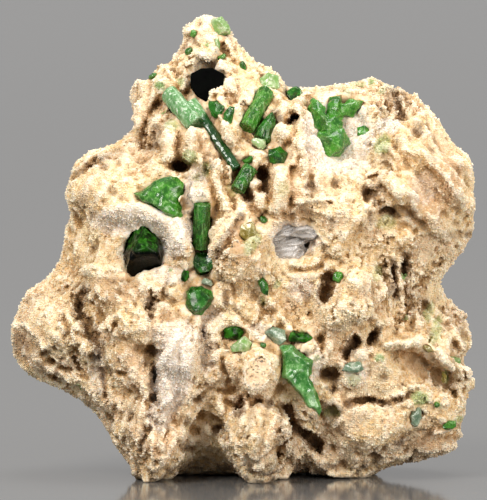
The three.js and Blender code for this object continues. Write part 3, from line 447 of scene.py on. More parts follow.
def smoothed(points, edges, passes):
    """The points, each moved half way to the middle of its neighbours, several times."""
    count = len(points)
    degree = np.bincount(edges.ravel(), minlength=count).clip(1)
    for _ in range(passes):
        sums = np.empty_like(points)
        for axis in range(points.shape[1]):
            sums[:, axis] = (np.bincount(edges[:, 0], points[edges[:, 1], axis], count)
                             + np.bincount(edges[:, 1], points[edges[:, 0], axis], count))
        points = points + 0.5 * (sums / degree[:, None] - points)
    return points


def smoothstep(value, low, high):
    share = ((value - low) / (high - low)).clip(0, 1)
    return share * share * (3 - 2 * share)


MERGED = 0.002  # points nearer than this are one


def copy_in_millimetres(name, node):
    """A merged copy of a CAD node as a new piece, in millimetres while it is worked on."""
    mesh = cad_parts[node].data.copy()
    mesh.transform(Matrix.Scale(1 / MM, 4))
    shape = bmesh.new()
    shape.from_mesh(mesh)
    bmesh.ops.remove_doubles(shape, verts=shape.verts, dist=MERGED)
    bmesh.ops.recalc_face_normals(shape, faces=shape.faces)
    shape.to_mesh(mesh)
    shape.free()
    mesh.materials.clear()
    for layer in list(mesh.attributes):
        if not layer.is_internal and not layer.is_required:
            mesh.attributes.remove(layer)
    piece = bpy.data.objects.new(name, mesh)
    bpy.context.scene.collection.objects.link(piece)
    return piece


def apply_modifiers(piece):
    graph = bpy.context.evaluated_depsgraph_get()
    mesh = bpy.data.meshes.new_from_object(piece.evaluated_get(graph))
    piece.modifiers.clear()
    piece.data = mesh
    return mesh


def remesh(piece, voxel):
    step = piece.modifiers.new("voxels", "REMESH")
    step.mode = "VOXEL"
    step.voxel_size = voxel
    return apply_modifiers(piece)


def field(points, size, seed):
    """The value of a soft noise of a given size in millimetres, at every point."""
    shift = np.array([17.1, 5.3, 9.7]) * seed
    return np.array([noise.noise(Vector(p)) for p in points / size + shift])


def grains(points, size, seed):
    """Rounded grains: 1 at the middle of each and about 0 at the joints between them."""
    shift = np.array([3.7, 11.9, 7.3]) * seed
    nearest = [noise.voronoi(Vector(p))[0] for p in points / size + shift]
    return np.array([1 - (two[0] / max(two[1], 1e-6)) ** 2 for two in nearest])


CELL_SPREAD = 5.3  # so that near cells draw slopes that have nothing in common
HALF = Vector((0.5, 0.5, 0.5))
SCOOPED, TILTED = 0.5, 0.6  # how hollow a fracture is, and how steeply it leans
STEP = 0.5  # height of the steps between cleavage faces, as a share of their size
JOINT_WIDTH = 0.14  # as a share of a block


def tilt_of(middle):
    """A slope of its own for each cell of a pattern, from the cell's middle."""
    return noise.cell_vector(CELL_SPREAD * middle) - HALF


def fractured(points, size, seed):
    """Conchoidal fractures: shallow scoops of a given size that meet in sharp ridges."""
    shift = np.array([5.1, 8.3, 2.9]) * seed
    rise = np.empty(len(points))
    for i, place in enumerate(points / size + shift):
        place = Vector(place)
        middles = noise.voronoi(place)[1]
        rise[i] = min(SCOOPED * (place - middle).length_squared
                      + TILTED * tilt_of(middle).dot(place - middle) for middle in middles)
    return size * (rise - rise.mean())


def cleaved(points, size, seed):
    """Flat cleavage faces of a given size, each tilted its own way, with steps between them."""
    shift = np.array([6.7, 2.3, 9.1]) * seed
    rise = np.empty(len(points))
    for i, place in enumerate(points / size + shift):
        place = Vector(place)
        middle = noise.voronoi(place)[1][0]
        tilt = tilt_of(middle)
        rise[i] = tilt.dot(place - middle) + STEP * tilt.x
    return size * (rise - rise.mean())


def joints(points, size, seed):
    """Open joints between upright blocks of a given size, where a wide noise lets them gape."""
    shift = np.array([2.7, 13.1, 6.3]) * seed
    wavy = points + 0.5 * np.stack([field(points, 1.6, seed + i) for i in range(3)], 1)
    nearest = [noise.voronoi(Vector(p))[0] for p in wavy * (1, 1, 0.6) / size + shift]
    gap = np.array([two[1] - two[0] for two in nearest])
    gaping = smoothstep(field(points, 6, seed), -0.05, 0.2)
    return (1 - gap / JOINT_WIDTH).clip(0) * gaping


def spot(across, up, x, z, half_width, half_height, turn, edge):
    """1 at the middle of an ellipse, 0 outside it. A larger edge makes it more pointed."""
    cos, sin = math.cos(math.radians(turn)), math.sin(math.radians(turn))
    u = ((across - x) * cos + (up - z) * sin) / half_width
    v = ((up - z) * cos - (across - x) * sin) / half_height
    return (1 - (u * u + v * v)).clip(0) ** edge


def path(across, up, corners, half_width, edge=1.0):
    """1 along a line with corners, 0 further from it than its half width."""
    nearest = np.full(len(across), 1e9)
    for (x0, z0), (x1, z1) in zip(corners, corners[1:]):
        length = max((x1 - x0) ** 2 + (z1 - z0) ** 2, 1e-6)
        share = (((across - x0) * (x1 - x0) + (up - z0) * (z1 - z0)) / length).clip(0, 1)
        off = np.hypot(across - x0 - share * (x1 - x0), up - z0 - share * (z1 - z0))
        nearest = np.minimum(nearest, off)
    return (1 - (nearest / half_width) ** 2).clip(0) ** edge


PLATE_ENDS = 1.2  # over which a plate's edge comes in and fades out


def plate(across, up, start, end, width):
    """1 at an edge, falling to 0 over a width to the right of it, and 0 on its left."""
    (x0, z0), (x1, z1) = start, end
    length = math.hypot(x1 - x0, z1 - z0)
    along = ((across - x0) * (x1 - x0) + (up - z0) * (z1 - z0)) / length
    off = ((across - x0) * (z1 - z0) - (up - z0) * (x1 - x0)) / length
    ends = smoothstep(along, 0, PLATE_ENDS) * (1 - smoothstep(along, length - PLATE_ENDS, length))
    return ends * smoothstep(off, -0.15, 0.25) * (1 - off / width).clip(0)


def from_front(points, normals):
    """Where each point is seen from the front, and how much it belongs to the front."""
    seen = points[:, 2] + points[:, 1] * math.tan(LOOK_DOWN)
    return points[:, 0], seen, 1 - smoothstep(normals[:, 1], 0.0, 0.45)


# The crystals' surfaces, for the rock to close up to.
crystal_nodes = sorted(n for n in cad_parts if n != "matrix")
all_crystals = bmesh.new()
for crystal_node in crystal_nodes:
    all_crystals.from_mesh(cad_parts[crystal_node].data)
bmesh.ops.scale(all_crystals, vec=(1 / MM,) * 3, verts=all_crystals.verts)
crystal_surface = BVHTree.FromBMesh(all_crystals)
all_crystals.free()


def closed_up(points):
    """The rock's points with the gap round every crystal closed."""
    points = points.copy()
    for i, point in enumerate(points):
        place = Vector(point)
        near, normal, _, distance = crystal_surface.find_nearest(place, CRYSTAL_REACH)
        if near is None:
            continue
        if (place - near).dot(normal) < 0:
            points[i] = near
            continue
        share = max(0, distance - CRYSTAL_GAP) / (CRYSTAL_REACH - CRYSTAL_GAP)
        points[i] = near.lerp(place, share)
    return points


rock = copy_in_millimetres("albite_rock", "matrix")
remesh(rock, COARSE_VOXEL)
points = smoothed(points_of(rock.data), edges_of(rock.data), passes=4)
set_points(rock.data, points)

# How far outlines are moved about, and over what sizes: those of all forms, and those of clefts.
RAGGED = ((0.4, 2.1), (0.2, 0.8))
TORN = ((0.5, 1.5), (0.4, 0.6))


def frayed(points, across, up, layers, seed):
    """Places on the front moved about a little, as the grains break up every form's outline."""
    moved = []
    for place in (across, up):
        for amount, size in layers:
            place = place + amount * field(points, size, seed)
            seed += 1
        moved.append(place)
    return moved


def covered(rows, across, up, edge=0.5, grow=1.0):
    """The strongest of several zones at each point, drawn larger by a factor."""
    value = np.zeros(len(across))
    for x, z, half_width, half_height, turn, strength in rows:
        value = np.maximum(value, strength * smoothstep(
            spot(across, up, x, z, grow * half_width, grow * half_height, turn, 1), 0, edge))
    return value


def flowing(points, across, up, width, length, seed):
    """Furrows that run the way the plates have grown in each part of the front."""
    total = np.zeros(len(points))
    for x, z, half_width, half_height, turn, direction, strength in FLOWS:
        share = smoothstep(spot(across, up, x, z, half_width, half_height, turn, 1), 0, 0.5)
        chosen = np.flatnonzero(share > 0)
        angle = math.radians(direction)
        along = np.array([math.cos(angle), 0, math.sin(angle)])
        run = points[chosen] @ along
        drawn = (points[chosen] - np.outer(run, along)) / width + np.outer(run / length, along)
        furrows = np.abs(field(drawn, 1, seed)) * 2.4 - 0.8
        total[chosen] += strength * share[chosen] * furrows
    return total


# Lumps of every size, and the forms that the front shows.
HIGHER, DEEPER = 1.35, 0.9  # ridges and creases are shaped this much beyond their heights
BUMPIER, PITTIER = 1.15, 0.9  # and bumps and pits this much
MOAT = 0.9  # width of the hollow round each column
BLOCKS = (4.2, 51)  # size of the blocks between open joints, and their pattern
JOINT_DEPTH = 2.2
CRYSTAL_CLEAR = (0.3, 1.1)  # rock nearer to a crystal than this doesn't grow out over it
FAR = 1.6  # and crystals further off than this aren't looked for

normals = normals_of(rock.data)
smooth_across, smooth_up, front = from_front(points, normals)
across, up = frayed(points, smooth_across, smooth_up, RAGGED, 11)
calm = covered(CALM, across, up) * front
rise = np.zeros(len(points))
for corners, half_width, height in RIDGES:
    height *= HIGHER if height > 0 else DEEPER
    rise += height * path(across, up, corners, max(1.1 * half_width, 0.5))
for x, z, half_width, half_height, turn, height in SPOTS:
    height *= BUMPIER if height > 0 else PITTIER
    rise += height * spot(across, up, x, z, half_width, half_height, turn, edge=0.8)
rise *= front * (1 + 0.6 * field(points, 2.6, 15))
towards = np.zeros(len(points))
moat = np.zeros(len(points))
for corners, radius, stand in COLUMNS:
    body = path(across, up, corners, radius, edge=0.5)
    towards = np.maximum(towards, 1.3 * stand * body)
    moat = np.maximum(moat, 0.5 * stand * path(across, up, corners, radius + MOAT))
    calm = np.maximum(calm, 0.8 * body * front)
for start, end, width, height in PLATES:
    body = plate(0.5 * (across + smooth_across), 0.5 * (up + smooth_up), start, end, width)
    towards += height * body
    calm = np.maximum(calm, 0.7 * smoothstep(body, 0, 0.3) * front)
away = moat * (1 - towards.clip(0, 1))
torn_across, torn_up = frayed(points, across, up, TORN, 16)
for corners, radius, depth in CLEFTS:
    cleft = path(torn_across, torn_up, corners, 0.85 * radius + 0.15, edge=0.8)
    away = np.maximum(away, 0.65 * depth * cleft)
away = np.maximum(away, JOINT_DEPTH * (joints(points, *BLOCKS) * (1 - calm)))
for corners, radius, depth in SCOOPS:
    away = np.maximum(away, depth * path(smooth_across, smooth_up, corners, radius, edge=0.7))
rise += 1.5 * front * flowing(points, across, up, width=1.6, length=9, seed=21)
crumbly = 0.35 + 0.65 * smoothstep(field(points, 7, 31), -0.25, 0.3)
lumps = (0.4 * (np.abs(field(points, 4.2, 1)) - 0.22) + 0.5 * fractured(points, 4.0, 41)
         + crumbly * (0.2 * field(points, 1.0, 6) - 0.4 * fractured(points, 2.1, 42)
                      + 0.45 * cleaved(points, 2.6, 43)))
rise += lumps * (1 - 0.85 * calm) * (0.45 + 0.55 * smoothstep(np.abs(normals[:, 1]), 0.1, 0.5))
distance = [crystal_surface.find_nearest(Vector(p), FAR)[3] or FAR for p in points]
clear = smoothstep(np.array(distance), *CRYSTAL_CLEAR)
points += normals * np.where(rise > 0, rise * clear, rise)[:, None]
points[:, 1] += front * (away - towards * clear)

# The underside between the feet, which no light reaches, hangs down to just over the table.
under = (smoothstep(points[:, 1], -5, 3) * (1 - smoothstep(points[:, 2], 3.5, 7))
         * (1 - smoothstep(np.abs(points[:, 0] - 1), 15, 19)))
points[:, 2] *= 1 - 0.9 * under
set_points(rock.data, points)
remesh(rock, FINE_VOXEL)
points = smoothed(points_of(rock.data), edges_of(rock.data), passes=2)
set_points(rock.data, points)

# Fine grains and pits.
normals = normals_of(rock.data)
across, up, front = from_front(points, normals)
across, up = frayed(points, across, up, RAGGED, 11)
calm = covered(CALM, across, up) * front
pitted = smoothstep(field(points, 5, 7), -0.05, 0.35)
fine = (0.15 * field(points, 0.7, 3) + 0.13 * (grains(points, 0.8, 4) - 0.5)
        + 0.28 * cleaved(points, 1.1, 44)
        + 0.38 * front * flowing(points, across, up, width=0.6, length=4, seed=22))
holes = -0.7 * smoothstep(field(points, 0.9, 5), 0.32, 0.5) * (0.15 + 0.85 * pitted)
fine *= (0.6 + 0.6 * pitted) * (1 - 0.6 * calm)
points += normals * (fine + holes * (1 - 0.9 * calm))[:, None]
set_points(rock.data, points)

# The mesh is thinned most at the back, less at the sides and least at the front.
group = rock.vertex_groups.new(name="coarser")
for weight, chosen in ((1.0, normals[:, 1] > 0.25), (0.8, np.abs(normals[:, 1]) <= 0.25),
                       (0.6, normals[:, 1] < -0.25)):
    group.add(np.flatnonzero(chosen).tolist(), weight, "REPLACE")
triangles = sum(len(p.vertices) - 2 for p in rock.data.polygons)
thin = rock.modifiers.new("thin", "DECIMATE")
thin.ratio = ROCK_TRIANGLES / triangles
thin.vertex_group = "coarser"
thin.vertex_group_factor = 0.3
mesh = apply_modifiers(rock)
points = closed_up(points_of(mesh))
points[:, 2] = points[:, 2].clip(0)
box_low, box_high = (np.array(corner) / MM for corner in cad_box)
points = points.clip(box_low, box_high)
set_points(mesh, points)

# What the colours read: how deep each point lies in a crease or pit and how closed off it is, for painted
# shade and painted highlight, the stains and the zones.
normals = normals_of(mesh)
edges = edges_of(mesh)
across, up, front = from_front(points, normals)
across, up = frayed(points, across, up, RAGGED, 11)


def inset_of(passes, scale):
    """How deep each point lies below a level surface: 1 in the deepest creases, -1 on crests."""
    level = smoothed(points, edges, passes)
    inset = ((level - points) * normals).sum(axis=1) / scale
    return smoothed(inset[:, None], edges, 1)[:, 0].clip(-1, 1)


LIFT = 0.12  # rays start this far off the surface


def shelter_of(rays, reach):
    """How much of what each point looks out on is closed off by rock or crystal close by."""
    rock_surface = BVHTree.FromPolygons(
        points.tolist(), [tuple(p.vertices) for p in mesh.polygons], epsilon=0.0)
    golden = math.pi * (3 - math.sqrt(5))
    spins = golden * np.arange(rays)
    height = np.sqrt((np.arange(rays) + 0.5) / rays)
    spread = np.stack([np.cos(spins) * np.sqrt(1 - height ** 2),
                       np.sin(spins) * np.sqrt(1 - height ** 2), height], 1)
    closed = np.zeros(len(points))
    for i, (point, normal) in enumerate(zip(points, normals)):
        normal = Vector(normal)
        turn = normal.to_track_quat("Z", "Y").to_matrix()
        start = Vector(point) + LIFT * normal
        for ray in spread:
            heading = turn @ Vector(ray)
            far = rock_surface.ray_cast(start, heading, reach)[3]
            if far is None:
                far = crystal_surface.ray_cast(start, heading, reach)[3]
            if far is not None:
                closed[i] += 1 - far / reach
    return smoothed(closed[:, None] / rays, edges, 1)[:, 0]


# Iron stain and painted shade in one value: brown stain in clefts, open joints, cut-in creases and pits,
# deepened there as painted shade.
stain_and_shade = np.zeros(len(points))
torn_across, torn_up = frayed(points, across, up, TORN, 16)
for corners, radius, depth in CLEFTS:
    cleft = path(torn_across, torn_up, corners, 0.85 * radius + 0.3)
    stain_and_shade = np.maximum(stain_and_shade, min(1, depth / 3) * cleft)
stain_and_shade = np.maximum(stain_and_shade, 0.6 * joints(points, *BLOCKS) * (1 - covered(CALM, across, up)))
for corners, half_width, height in RIDGES:
    stain_and_shade += max(-height, 0) * path(across, up, corners, half_width + 0.5)
for x, z, half_width, half_height, turn, height in SPOTS:
    stain_and_shade += max(-height, 0) * spot(across, up, x, z, half_width + 0.4, half_height + 0.4, turn, 1)
# The underside, and whatever faces down close to the table, are darkened too: painted shade.
underside = (1 - smoothstep(points[:, 2], 2, 6)) * smoothstep(points[:, 1], -4, 1)
facing_down = smoothstep(-normals[:, 2], 0.1, 0.6) * (1 - smoothstep(points[:, 2], 1.5, 4))
stain_and_shade = np.maximum(np.maximum(stain_and_shade * front, underside), facing_down)
# The colour darkens with creases, hollows and shelter as painted shade, and pales the crests of creases
# as painted highlight.
zones = {"creases": inset_of(passes=5, scale=0.16), "shade_in_hollows": inset_of(passes=70, scale=1.3),
         "stain_and_shade": stain_and_shade.clip(0, 1), "shade_where_sheltered": shelter_of(rays=14, reach=6.0)}
# Painted highlight: cream along the crests of ridges and the edges of plates.
crest = np.zeros(len(points))
for corners, half_width, height in RIDGES:
    crest = np.maximum(crest, max(height, 0) * path(across, up, corners, half_width + 0.2))
for start, end, width, height in PLATES:
    crest = np.maximum(crest, path(across, up, [start, end], 0.7))
zones["highlight_on_crests"] = (crest * front).clip(0, 1)
smooth_across, smooth_up, _ = from_front(points, normals)
# Inside the smooth hollows most of the stain and painted shade is taken away.
for corners, radius, depth in SCOOPS:
    clear_of_shade_and_stain = 1 - 0.9 * path(smooth_across, smooth_up, corners, radius + 0.5)
    for zone in ("shade_where_sheltered", "shade_in_hollows", "stain_and_shade"):
        zones[zone] *= clear_of_shade_and_stain
for zone, places in (("quartz", WHITE), ("green", GREEN), ("calm", CALM), ("tan", TAN)):
    zones[zone] = covered(places, across, up, edge=0.6, grow=1.2) * front
for zone, value in zones.items():
    mesh.attributes.new(zone, "FLOAT", "POINT").data.foreach_set("value", value.astype(np.float32))
mesh.polygons.foreach_set("use_smooth", [True] * len(mesh.polygons))
mesh.transform(Matrix.Scale(MM, 4))


def rgb(hex_colour):
    """A colour written as sRGB hex, as linear red, green, blue and alpha."""
    parts = [int(hex_colour[i:i + 2], 16) / 255 for i in (1, 3, 5)]
    return [p / 12.92 if p <= 0.04045 else ((p + 0.055) / 1.055) ** 2.4 for p in parts] + [1]


def add(tree, kind, inputs=None, **settings):
    """A new node with its settings, and its inputs given as values or as sockets to link."""
    made = tree.nodes.new("ShaderNode" + kind)
    for name, value in settings.items():
        setattr(made, name, value)
    for name, value in (inputs or {}).items():
        if isinstance(value, bpy.types.NodeSocket):
            tree.links.new(value, made.inputs[name])
        else:
            made.inputs[name].default_value = value
    return made


def new_material(name):
    """An empty material with a plain shader on its output."""
    material = bpy.data.materials.new(name)
    material.use_nodes = True
    tree = material.node_tree
    tree.nodes.clear()
    shader = add(tree, "BsdfPrincipled")
    out = add(tree, "OutputMaterial", {"Surface": shader.outputs[0]})
    return material, tree, shader, out


def in_millimetres(tree):
    """The object's own coordinates in millimetres, so that a pattern's scale is 1 / its size."""
    place = add(tree, "TexCoord").outputs["Object"]
    return add(tree, "VectorMath", {0: place, 1: (1 / MM,) * 3}, operation="MULTIPLY").outputs[0]


# Albite, grown as sugar and weathered: a matt skin of grains 0.3 to 0.5 mm across, each with its
# own glint, cream where broken fresh, tan where weathered and brown with iron stain in the creases.
# Shade is painted into the creases, hollows and sheltered places, and highlight onto the crests.
# A little light passes through it and softens its shadows. The grain is drawn at its real size.
GRAIN_SIZE = 0.42
LINEAR, SMOOTH = "LINEAR", "SMOOTHSTEP"
albite, tree, shader, out = new_material("albite_sugary_weathered_and_shaded")
place = in_millimetres(tree)
follows = {}
for zone in zones:
    follows[zone] = add(tree, "Attribute", attribute_name=zone).outputs["Fac"]
for name, size, detail, roughness in (
        ("patches", 5.5, 3, 0.6), ("ochre", 2.8, 3, 0.6), ("rosy", 9, 2, 0.6),
        ("mottle", 0.6, 4, 0.6), ("blotches", 1.2, 3, 0.6), ("pits", 0.55, 2, 0.5),
        ("pitted", 2.2, 2, 0.6), ("sugar", 0.25, 3, 0.6)):
    follows[name] = add(tree, "TexNoise", {"Vector": place, "Scale": 1 / size, "Detail": detail,
                                           "Roughness": roughness}).outputs["Fac"]
speckle = add(tree, "MapRange", {"Value": follows["mottle"], "From Min": 0.35, "From Max": 0.7},
              interpolation_type=SMOOTH).outputs[0]
follows["speckle"] = speckle
quartz = add(tree, "Mix", {0: speckle, 6: rgb("#d8cabc"), 7: rgb("#f4ece2")}, data_type="RGBA").outputs[2]

# Layers of colour over the first, from the lowest up. The share of each is the product of what it
# follows, each from one range of values stretched to another.
LAYERS = (
    (rgb("#e7cda1"), [("patches", 0.35, 0.68, 0, 1, SMOOTH)]),
    (rgb("#c8964f"), [("ochre", 0.52, 0.7, 0, 0.45, SMOOTH)]),
    (rgb("#d9b796"), [("rosy", 0.45, 0.6, 0, 0.65, SMOOTH)]),
    (rgb("#f2e1c2"), [("speckle", 0, 1, 0, 0.8, LINEAR)]),
    (rgb("#bf9468"), [("tan", 0, 1, 0, 0.55, LINEAR)]),
    # Painted highlight on ridge crests and plate edges.
    (rgb("#fbe8c6"), [("highlight_on_crests", 0, 1, 0, 0.6, LINEAR)]),
    # Painted highlight on the crests of creases, then painted shade: tan where sheltered, brown in broad
    # hollows, brown in creases with their iron stain, dark brown where most sheltered.
    (rgb("#fff2da"), [("creases", -0.75, -0.15, 0.6, 0, SMOOTH)]),
    (rgb("#ba8c50"), [("shade_where_sheltered", 0.15, 0.52, 0, 0.5, SMOOTH)]),
    (rgb("#96692c"), [("shade_in_hollows", 0.05, 0.9, 0, 0.45, SMOOTH)]),
    (rgb("#8a6228"), [("creases", 0.1, 0.7, 0, 0.6, SMOOTH)]),
    (rgb("#65451c"), [("shade_where_sheltered", 0.42, 0.72, 0, 0.7, SMOOTH)]),
    (quartz, [("quartz", 0, 1, 0, 1, LINEAR), ("speckle", 0, 1, 0.65, 1, SMOOTH)]),
    # Darkest brown: iron stain, with painted shade in clefts, joints and pits and under the rock.
    (rgb("#4f3216"), [("stain_and_shade", 0, 1, 0, 1, LINEAR), ("blotches", 0.35, 0.65, 0.3, 0.8, SMOOTH)]),
    (rgb("#6f9a52"), [("green", 0, 1, 0, 1, LINEAR), ("speckle", 0, 1, 1, 0.6, SMOOTH)]),
    (rgb("#5d3d1f"), [("pits", 0.6, 0.7, 0, 0.55, SMOOTH), ("pitted", 0.45, 0.62, 0, 1, SMOOTH),
                      ("calm", 0, 0.7, 1, 0.1, SMOOTH)]),
)
colour = rgb("#d7b07a")
for over, factors in LAYERS:
    share = 1.0
    for name, first, last, to_first, to_last, kind in factors:
        stretched = add(tree, "MapRange", {"Value": follows[name], "From Min": first,
                                           "From Max": last, "To Min": to_first,
                                           "To Max": to_last}, interpolation_type=kind)
        share = add(tree, "Math", {0: share, 1: stretched.outputs[0]}, operation="MULTIPLY").outputs[0]
    colour = add(tree, "Mix", {0: share, 6: colour, 7: over}, data_type="RGBA").outputs[2]
tree.links.new(colour, shader.inputs["Base Color"])

# The bump: rounded grains with a fine noise over them, and the pits of the last layer.
grain = add(tree, "TexVoronoi", {"Vector": place, "Scale": 1 / GRAIN_SIZE}, feature="SMOOTH_F1")
height = add(tree, "Math", {0: follows["sugar"], 1: 0.6}, operation="MULTIPLY").outputs[0]
for dip, depth in ((grain.outputs["Distance"], -0.5), (share, -1.6)):
    height = add(tree, "Math", {0: dip, 1: depth, 2: height}, operation="MULTIPLY_ADD").outputs[0]
bump = add(tree, "Bump", {"Height": height, "Strength": 0.8, "Distance": 0.16 * MM})
tree.links.new(bump.outputs[0], shader.inputs["Normal"])
matt = add(tree, "MapRange", {"Value": speckle, "To Min": 0.85, "To Max": 0.55},
           interpolation_type=SMOOTH)
tree.links.new(matt.outputs[0], shader.inputs["Roughness"])
shader.inputs["Subsurface Weight"].default_value = 0.3
shader.inputs["Subsurface Radius"].default_value = (1, 0.65, 0.4)
shader.inputs["Subsurface Scale"].default_value = 0.5 * MM
rock.data.materials.append(albite)
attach(rock, "root")
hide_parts("matrix")

# The sugar
# Loose sugar of albite on the rock's skin: thousands of cleavage grains 0.2 to 0.6 mm across that
# have grown half sunk into it, thickest on the crests of the front and thin on its calm faces.
BATCHES = 3
GRAINS_EACH = 24000
GRAIN_HALF = (0.11, 0.29)  # half width of a grain
GRAIN_STRETCH = (0.7, 1.3)
SUNK = 0.03
OFF_CRYSTALS, OFF_TABLE = 0.7, 0.6  # no grain lies nearer to them than this
random_numbers = np.random.default_rng(5)
grain_shape = bmesh.new()
bmesh.ops.create_uvsphere(grain_shape, u_segments=4, v_segments=2, radius=1)
bmesh.ops.recalc_face_normals(grain_shape, faces=grain_shape.faces)
corners_of_grain = np.array([v.co for v in grain_shape.verts])
faces_of_grain = np.array([[v.index for v in f.verts] for f in grain_shape.faces])
grain_shape.free()


def random_turns(count):
    """Random rotations, as matrices."""
    a, b, c, d = random_numbers.normal(size=(4, count))
    size = np.sqrt(a * a + b * b + c * c + d * d)
    a, b, c, d = a / size, b / size, c / size, d / size
    return np.moveaxis(np.array([
        [1 - 2 * (c * c + d * d), 2 * (b * c - a * d), 2 * (b * d + a * c)],
        [2 * (b * c + a * d), 1 - 2 * (b * b + d * d), 2 * (c * d - a * b)],
        [2 * (b * d - a * c), 2 * (c * d + a * b), 1 - 2 * (b * b + c * c)]]), 2, 0)


def strewn(name, seats):
    """A batch of grains at some of the rock's points, with the rock's own zones."""
    halves = random_numbers.uniform(*GRAIN_HALF, (len(seats), 1, 1))
    stretch = random_numbers.uniform(*GRAIN_STRETCH, (len(seats), 1, 3))
    shapes = (corners_of_grain[None] * halves * stretch) @ random_turns(len(seats))
    spread = (points[seats] - SUNK * normals[seats])[:, None, :] + shapes
    spread = spread.reshape(-1, 3).clip(box_low, box_high)
    firsts = len(corners_of_grain) * np.arange(len(seats))
    faces = (faces_of_grain[None] + firsts[:, None, None]).reshape(-1, faces_of_grain.shape[1])
    mesh = bpy.data.meshes.new(name)
    mesh.from_pydata((spread * MM).tolist(), [], faces.tolist())
    for zone, value in zones.items():
        shared = np.repeat(value[seats], len(corners_of_grain)).astype(np.float32)
        mesh.attributes.new(zone, "FLOAT", "POINT").data.foreach_set("value", shared)
    piece = bpy.data.objects.new(name, mesh)
    bpy.context.scene.collection.objects.link(piece)
    mesh.materials.append(albite)
    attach(piece, "root")


free = np.array([crystal_surface.find_nearest(Vector(p), OFF_CRYSTALS)[0] is None for p in points])
density = free * (1 - 0.75 * zones["calm"]) * (points[:, 2] > OFF_TABLE)
density = density * (np.abs(normals[:, 1]) > 0.15) * (0.3 + 0.7 * front)
density = density * (0.5 + (zones["creases"] < 0.1))
seats = random_numbers.choice(len(points), BATCHES * GRAINS_EACH, False, density / density.sum())
for batch in range(BATCHES):
    strewn(f"albite_sugar_{batch + 1}", seats[batch::BATCHES])

# The crystals
# Tourmaline prisms with a rounded three-cornered section and fine furrows along them, broken
# shards of it with curved fractures, and a few quartz blades, all grown into the rock. Each one
# is shaped from its own CAD solid.
CRYSTALS = {
    "leaf": ["upper_prism", "face_chip", "bowl_chip", "lower_right_chip", "lower_right_speck",
             "knob_chip", "knob_lower_chip", "socket_rim_chip", "left_edge_chip", "broken_shard",
             "bowl_cluster"],
    "deep": ["green_shard", "round_crystal", "stub_prism", "vertical_prism", "block_crystal",
             "tapered_crystal", "wedge_crystal", "olive_crystal", "rim_dark_crystal",
             "olive_chip", "grey_green_crystal", "pin_chip", "slope_chip"],
    "bottle": ["cave_crystal", "shadow_crystal", "sliver_crystal", "pit_crystal",
               "teal_shadow_crystal"],
    "black": ["top_socket_crystal"],
    "olive": ["olive_patch", "hollow_chip", "ridge_chip"],
    "mint": ["rim_pale_crystal", "pale_vug_crystal", "pale_slab", "right_edge_crystal",
             "knob_crystal", "knob_strip"],
    "teal": ["teal_chip", "teal_lump", "teal_pocket_crystal", "lower_right_crystal"],
    "long": ["long_prism"],
    "milky": ["lower_shard"],
    "quartz": ["quartz_blades"],
}
FINE_MESH, MESH = 0.1, 0.14  # of crystals under and over 7 mm long
LARGEST_RISE = (-0.35, 0.3)  # as far as a surface may leave its CAD solid
# Crystal edges that stand out are paled, as wear and as painted highlight; PALE_EDGE is where they are
# palest.
PALE_EDGE = 0.06  # an edge that stands out this far is fully worn
# Which way each prism has grown, as steps across and up, and its furrows: how far they are drawn
# out, and the width of the coarse and the fine ones.
AXES = {"upper_prism": (3, 5.6), "stub_prism": (2, 3.4), "vertical_prism": (0.1, 6.7),
        "long_prism": (5.7, -7.6), "tapered_crystal": (1, 3), "quartz_blades": (1, 0.2)}
DRAWN_OUT = 30
FURROWS = (0.35, 0.16)
# Where the slender end of the long prism turns to its own dark green, and where the lower part of
# the cave crystal is darkened as painted shade, from their ends.
PRISM_DARK_END = np.array([10.0, 9.0])
CAVE_SHADE = np.array([5.2, 4.2])


def grow(node, look, seed):
    """A crystal from its CAD solid, with furrows along its axis or fractures all over."""
    piece = copy_in_millimetres(node + "_grown", node)
    lowest, highest = (np.array(corner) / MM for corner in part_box(node))
    remesh(piece, FINE_MESH if (highest - lowest).max() < 7 else MESH)
    points = smoothed(points_of(piece.data), edges_of(piece.data), passes=1)
    set_points(piece.data, points)
    normals = normals_of(piece.data)
    streaks = np.zeros(len(points))
    if node in AXES:
        along = np.array([AXES[node][0], 0, AXES[node][1]], float)
        along /= np.linalg.norm(along)
        run = points @ along
        drawn = points - np.outer(run, along) + np.outer(run / DRAWN_OUT, along)
        streaks = sum(0.7 * field(drawn, width, seed + i) for i, width in enumerate(FURROWS))
        rise = 0.1 * streaks + 0.12 * fractured(drawn, 1.0, seed)
        if look == "quartz":
            rise += 1.2 * (0.2 - np.abs(field(drawn, 0.9, seed + 2)))
    elif look == "black":
        rise = 0.03 * field(points, 0.5, seed)
    else:
        rise = 0.65 * fractured(points, 3.0, seed) + 0.25 * fractured(points, 1.1, seed + 4)
    points = points + normals * rise.clip(*LARGEST_RISE)[:, None]
    set_points(piece.data, points.clip(box_low, box_high))
    edges = edges_of(piece.data)
    normals = normals_of(piece.data)
    level = smoothed(points, edges, passes=4)
    edge_share = (((points - level) * normals).sum(axis=1) / PALE_EDGE).clip(0, 1)
    dark_end = np.zeros(len(points))
    if node == "long_prism":
        dark_end = smoothstep(run, *(run.max() - PRISM_DARK_END))
    # The cave crystal's lower part: painted shade.
    if node == "cave_crystal":
        dark_end = 1 - smoothstep(points[:, 2], *(highest[2] - CAVE_SHADE))
    for name, value in (("edges", edge_share), ("streaks", streaks), ("dark_end", dark_end)):
        layer = piece.data.attributes.new(name, "FLOAT", "POINT").data
        layer.foreach_set("value", value.astype(np.float32))
    piece.data.transform(Matrix.Scale(MM, 4))
    piece.data.polygons.foreach_set("use_smooth", [True] * len(piece.data.polygons))
    piece.data.materials.append(looks[look])
    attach(piece, "root")
    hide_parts(node)


TOURMALINE_IOR = 1.63  # the quartz blades share it


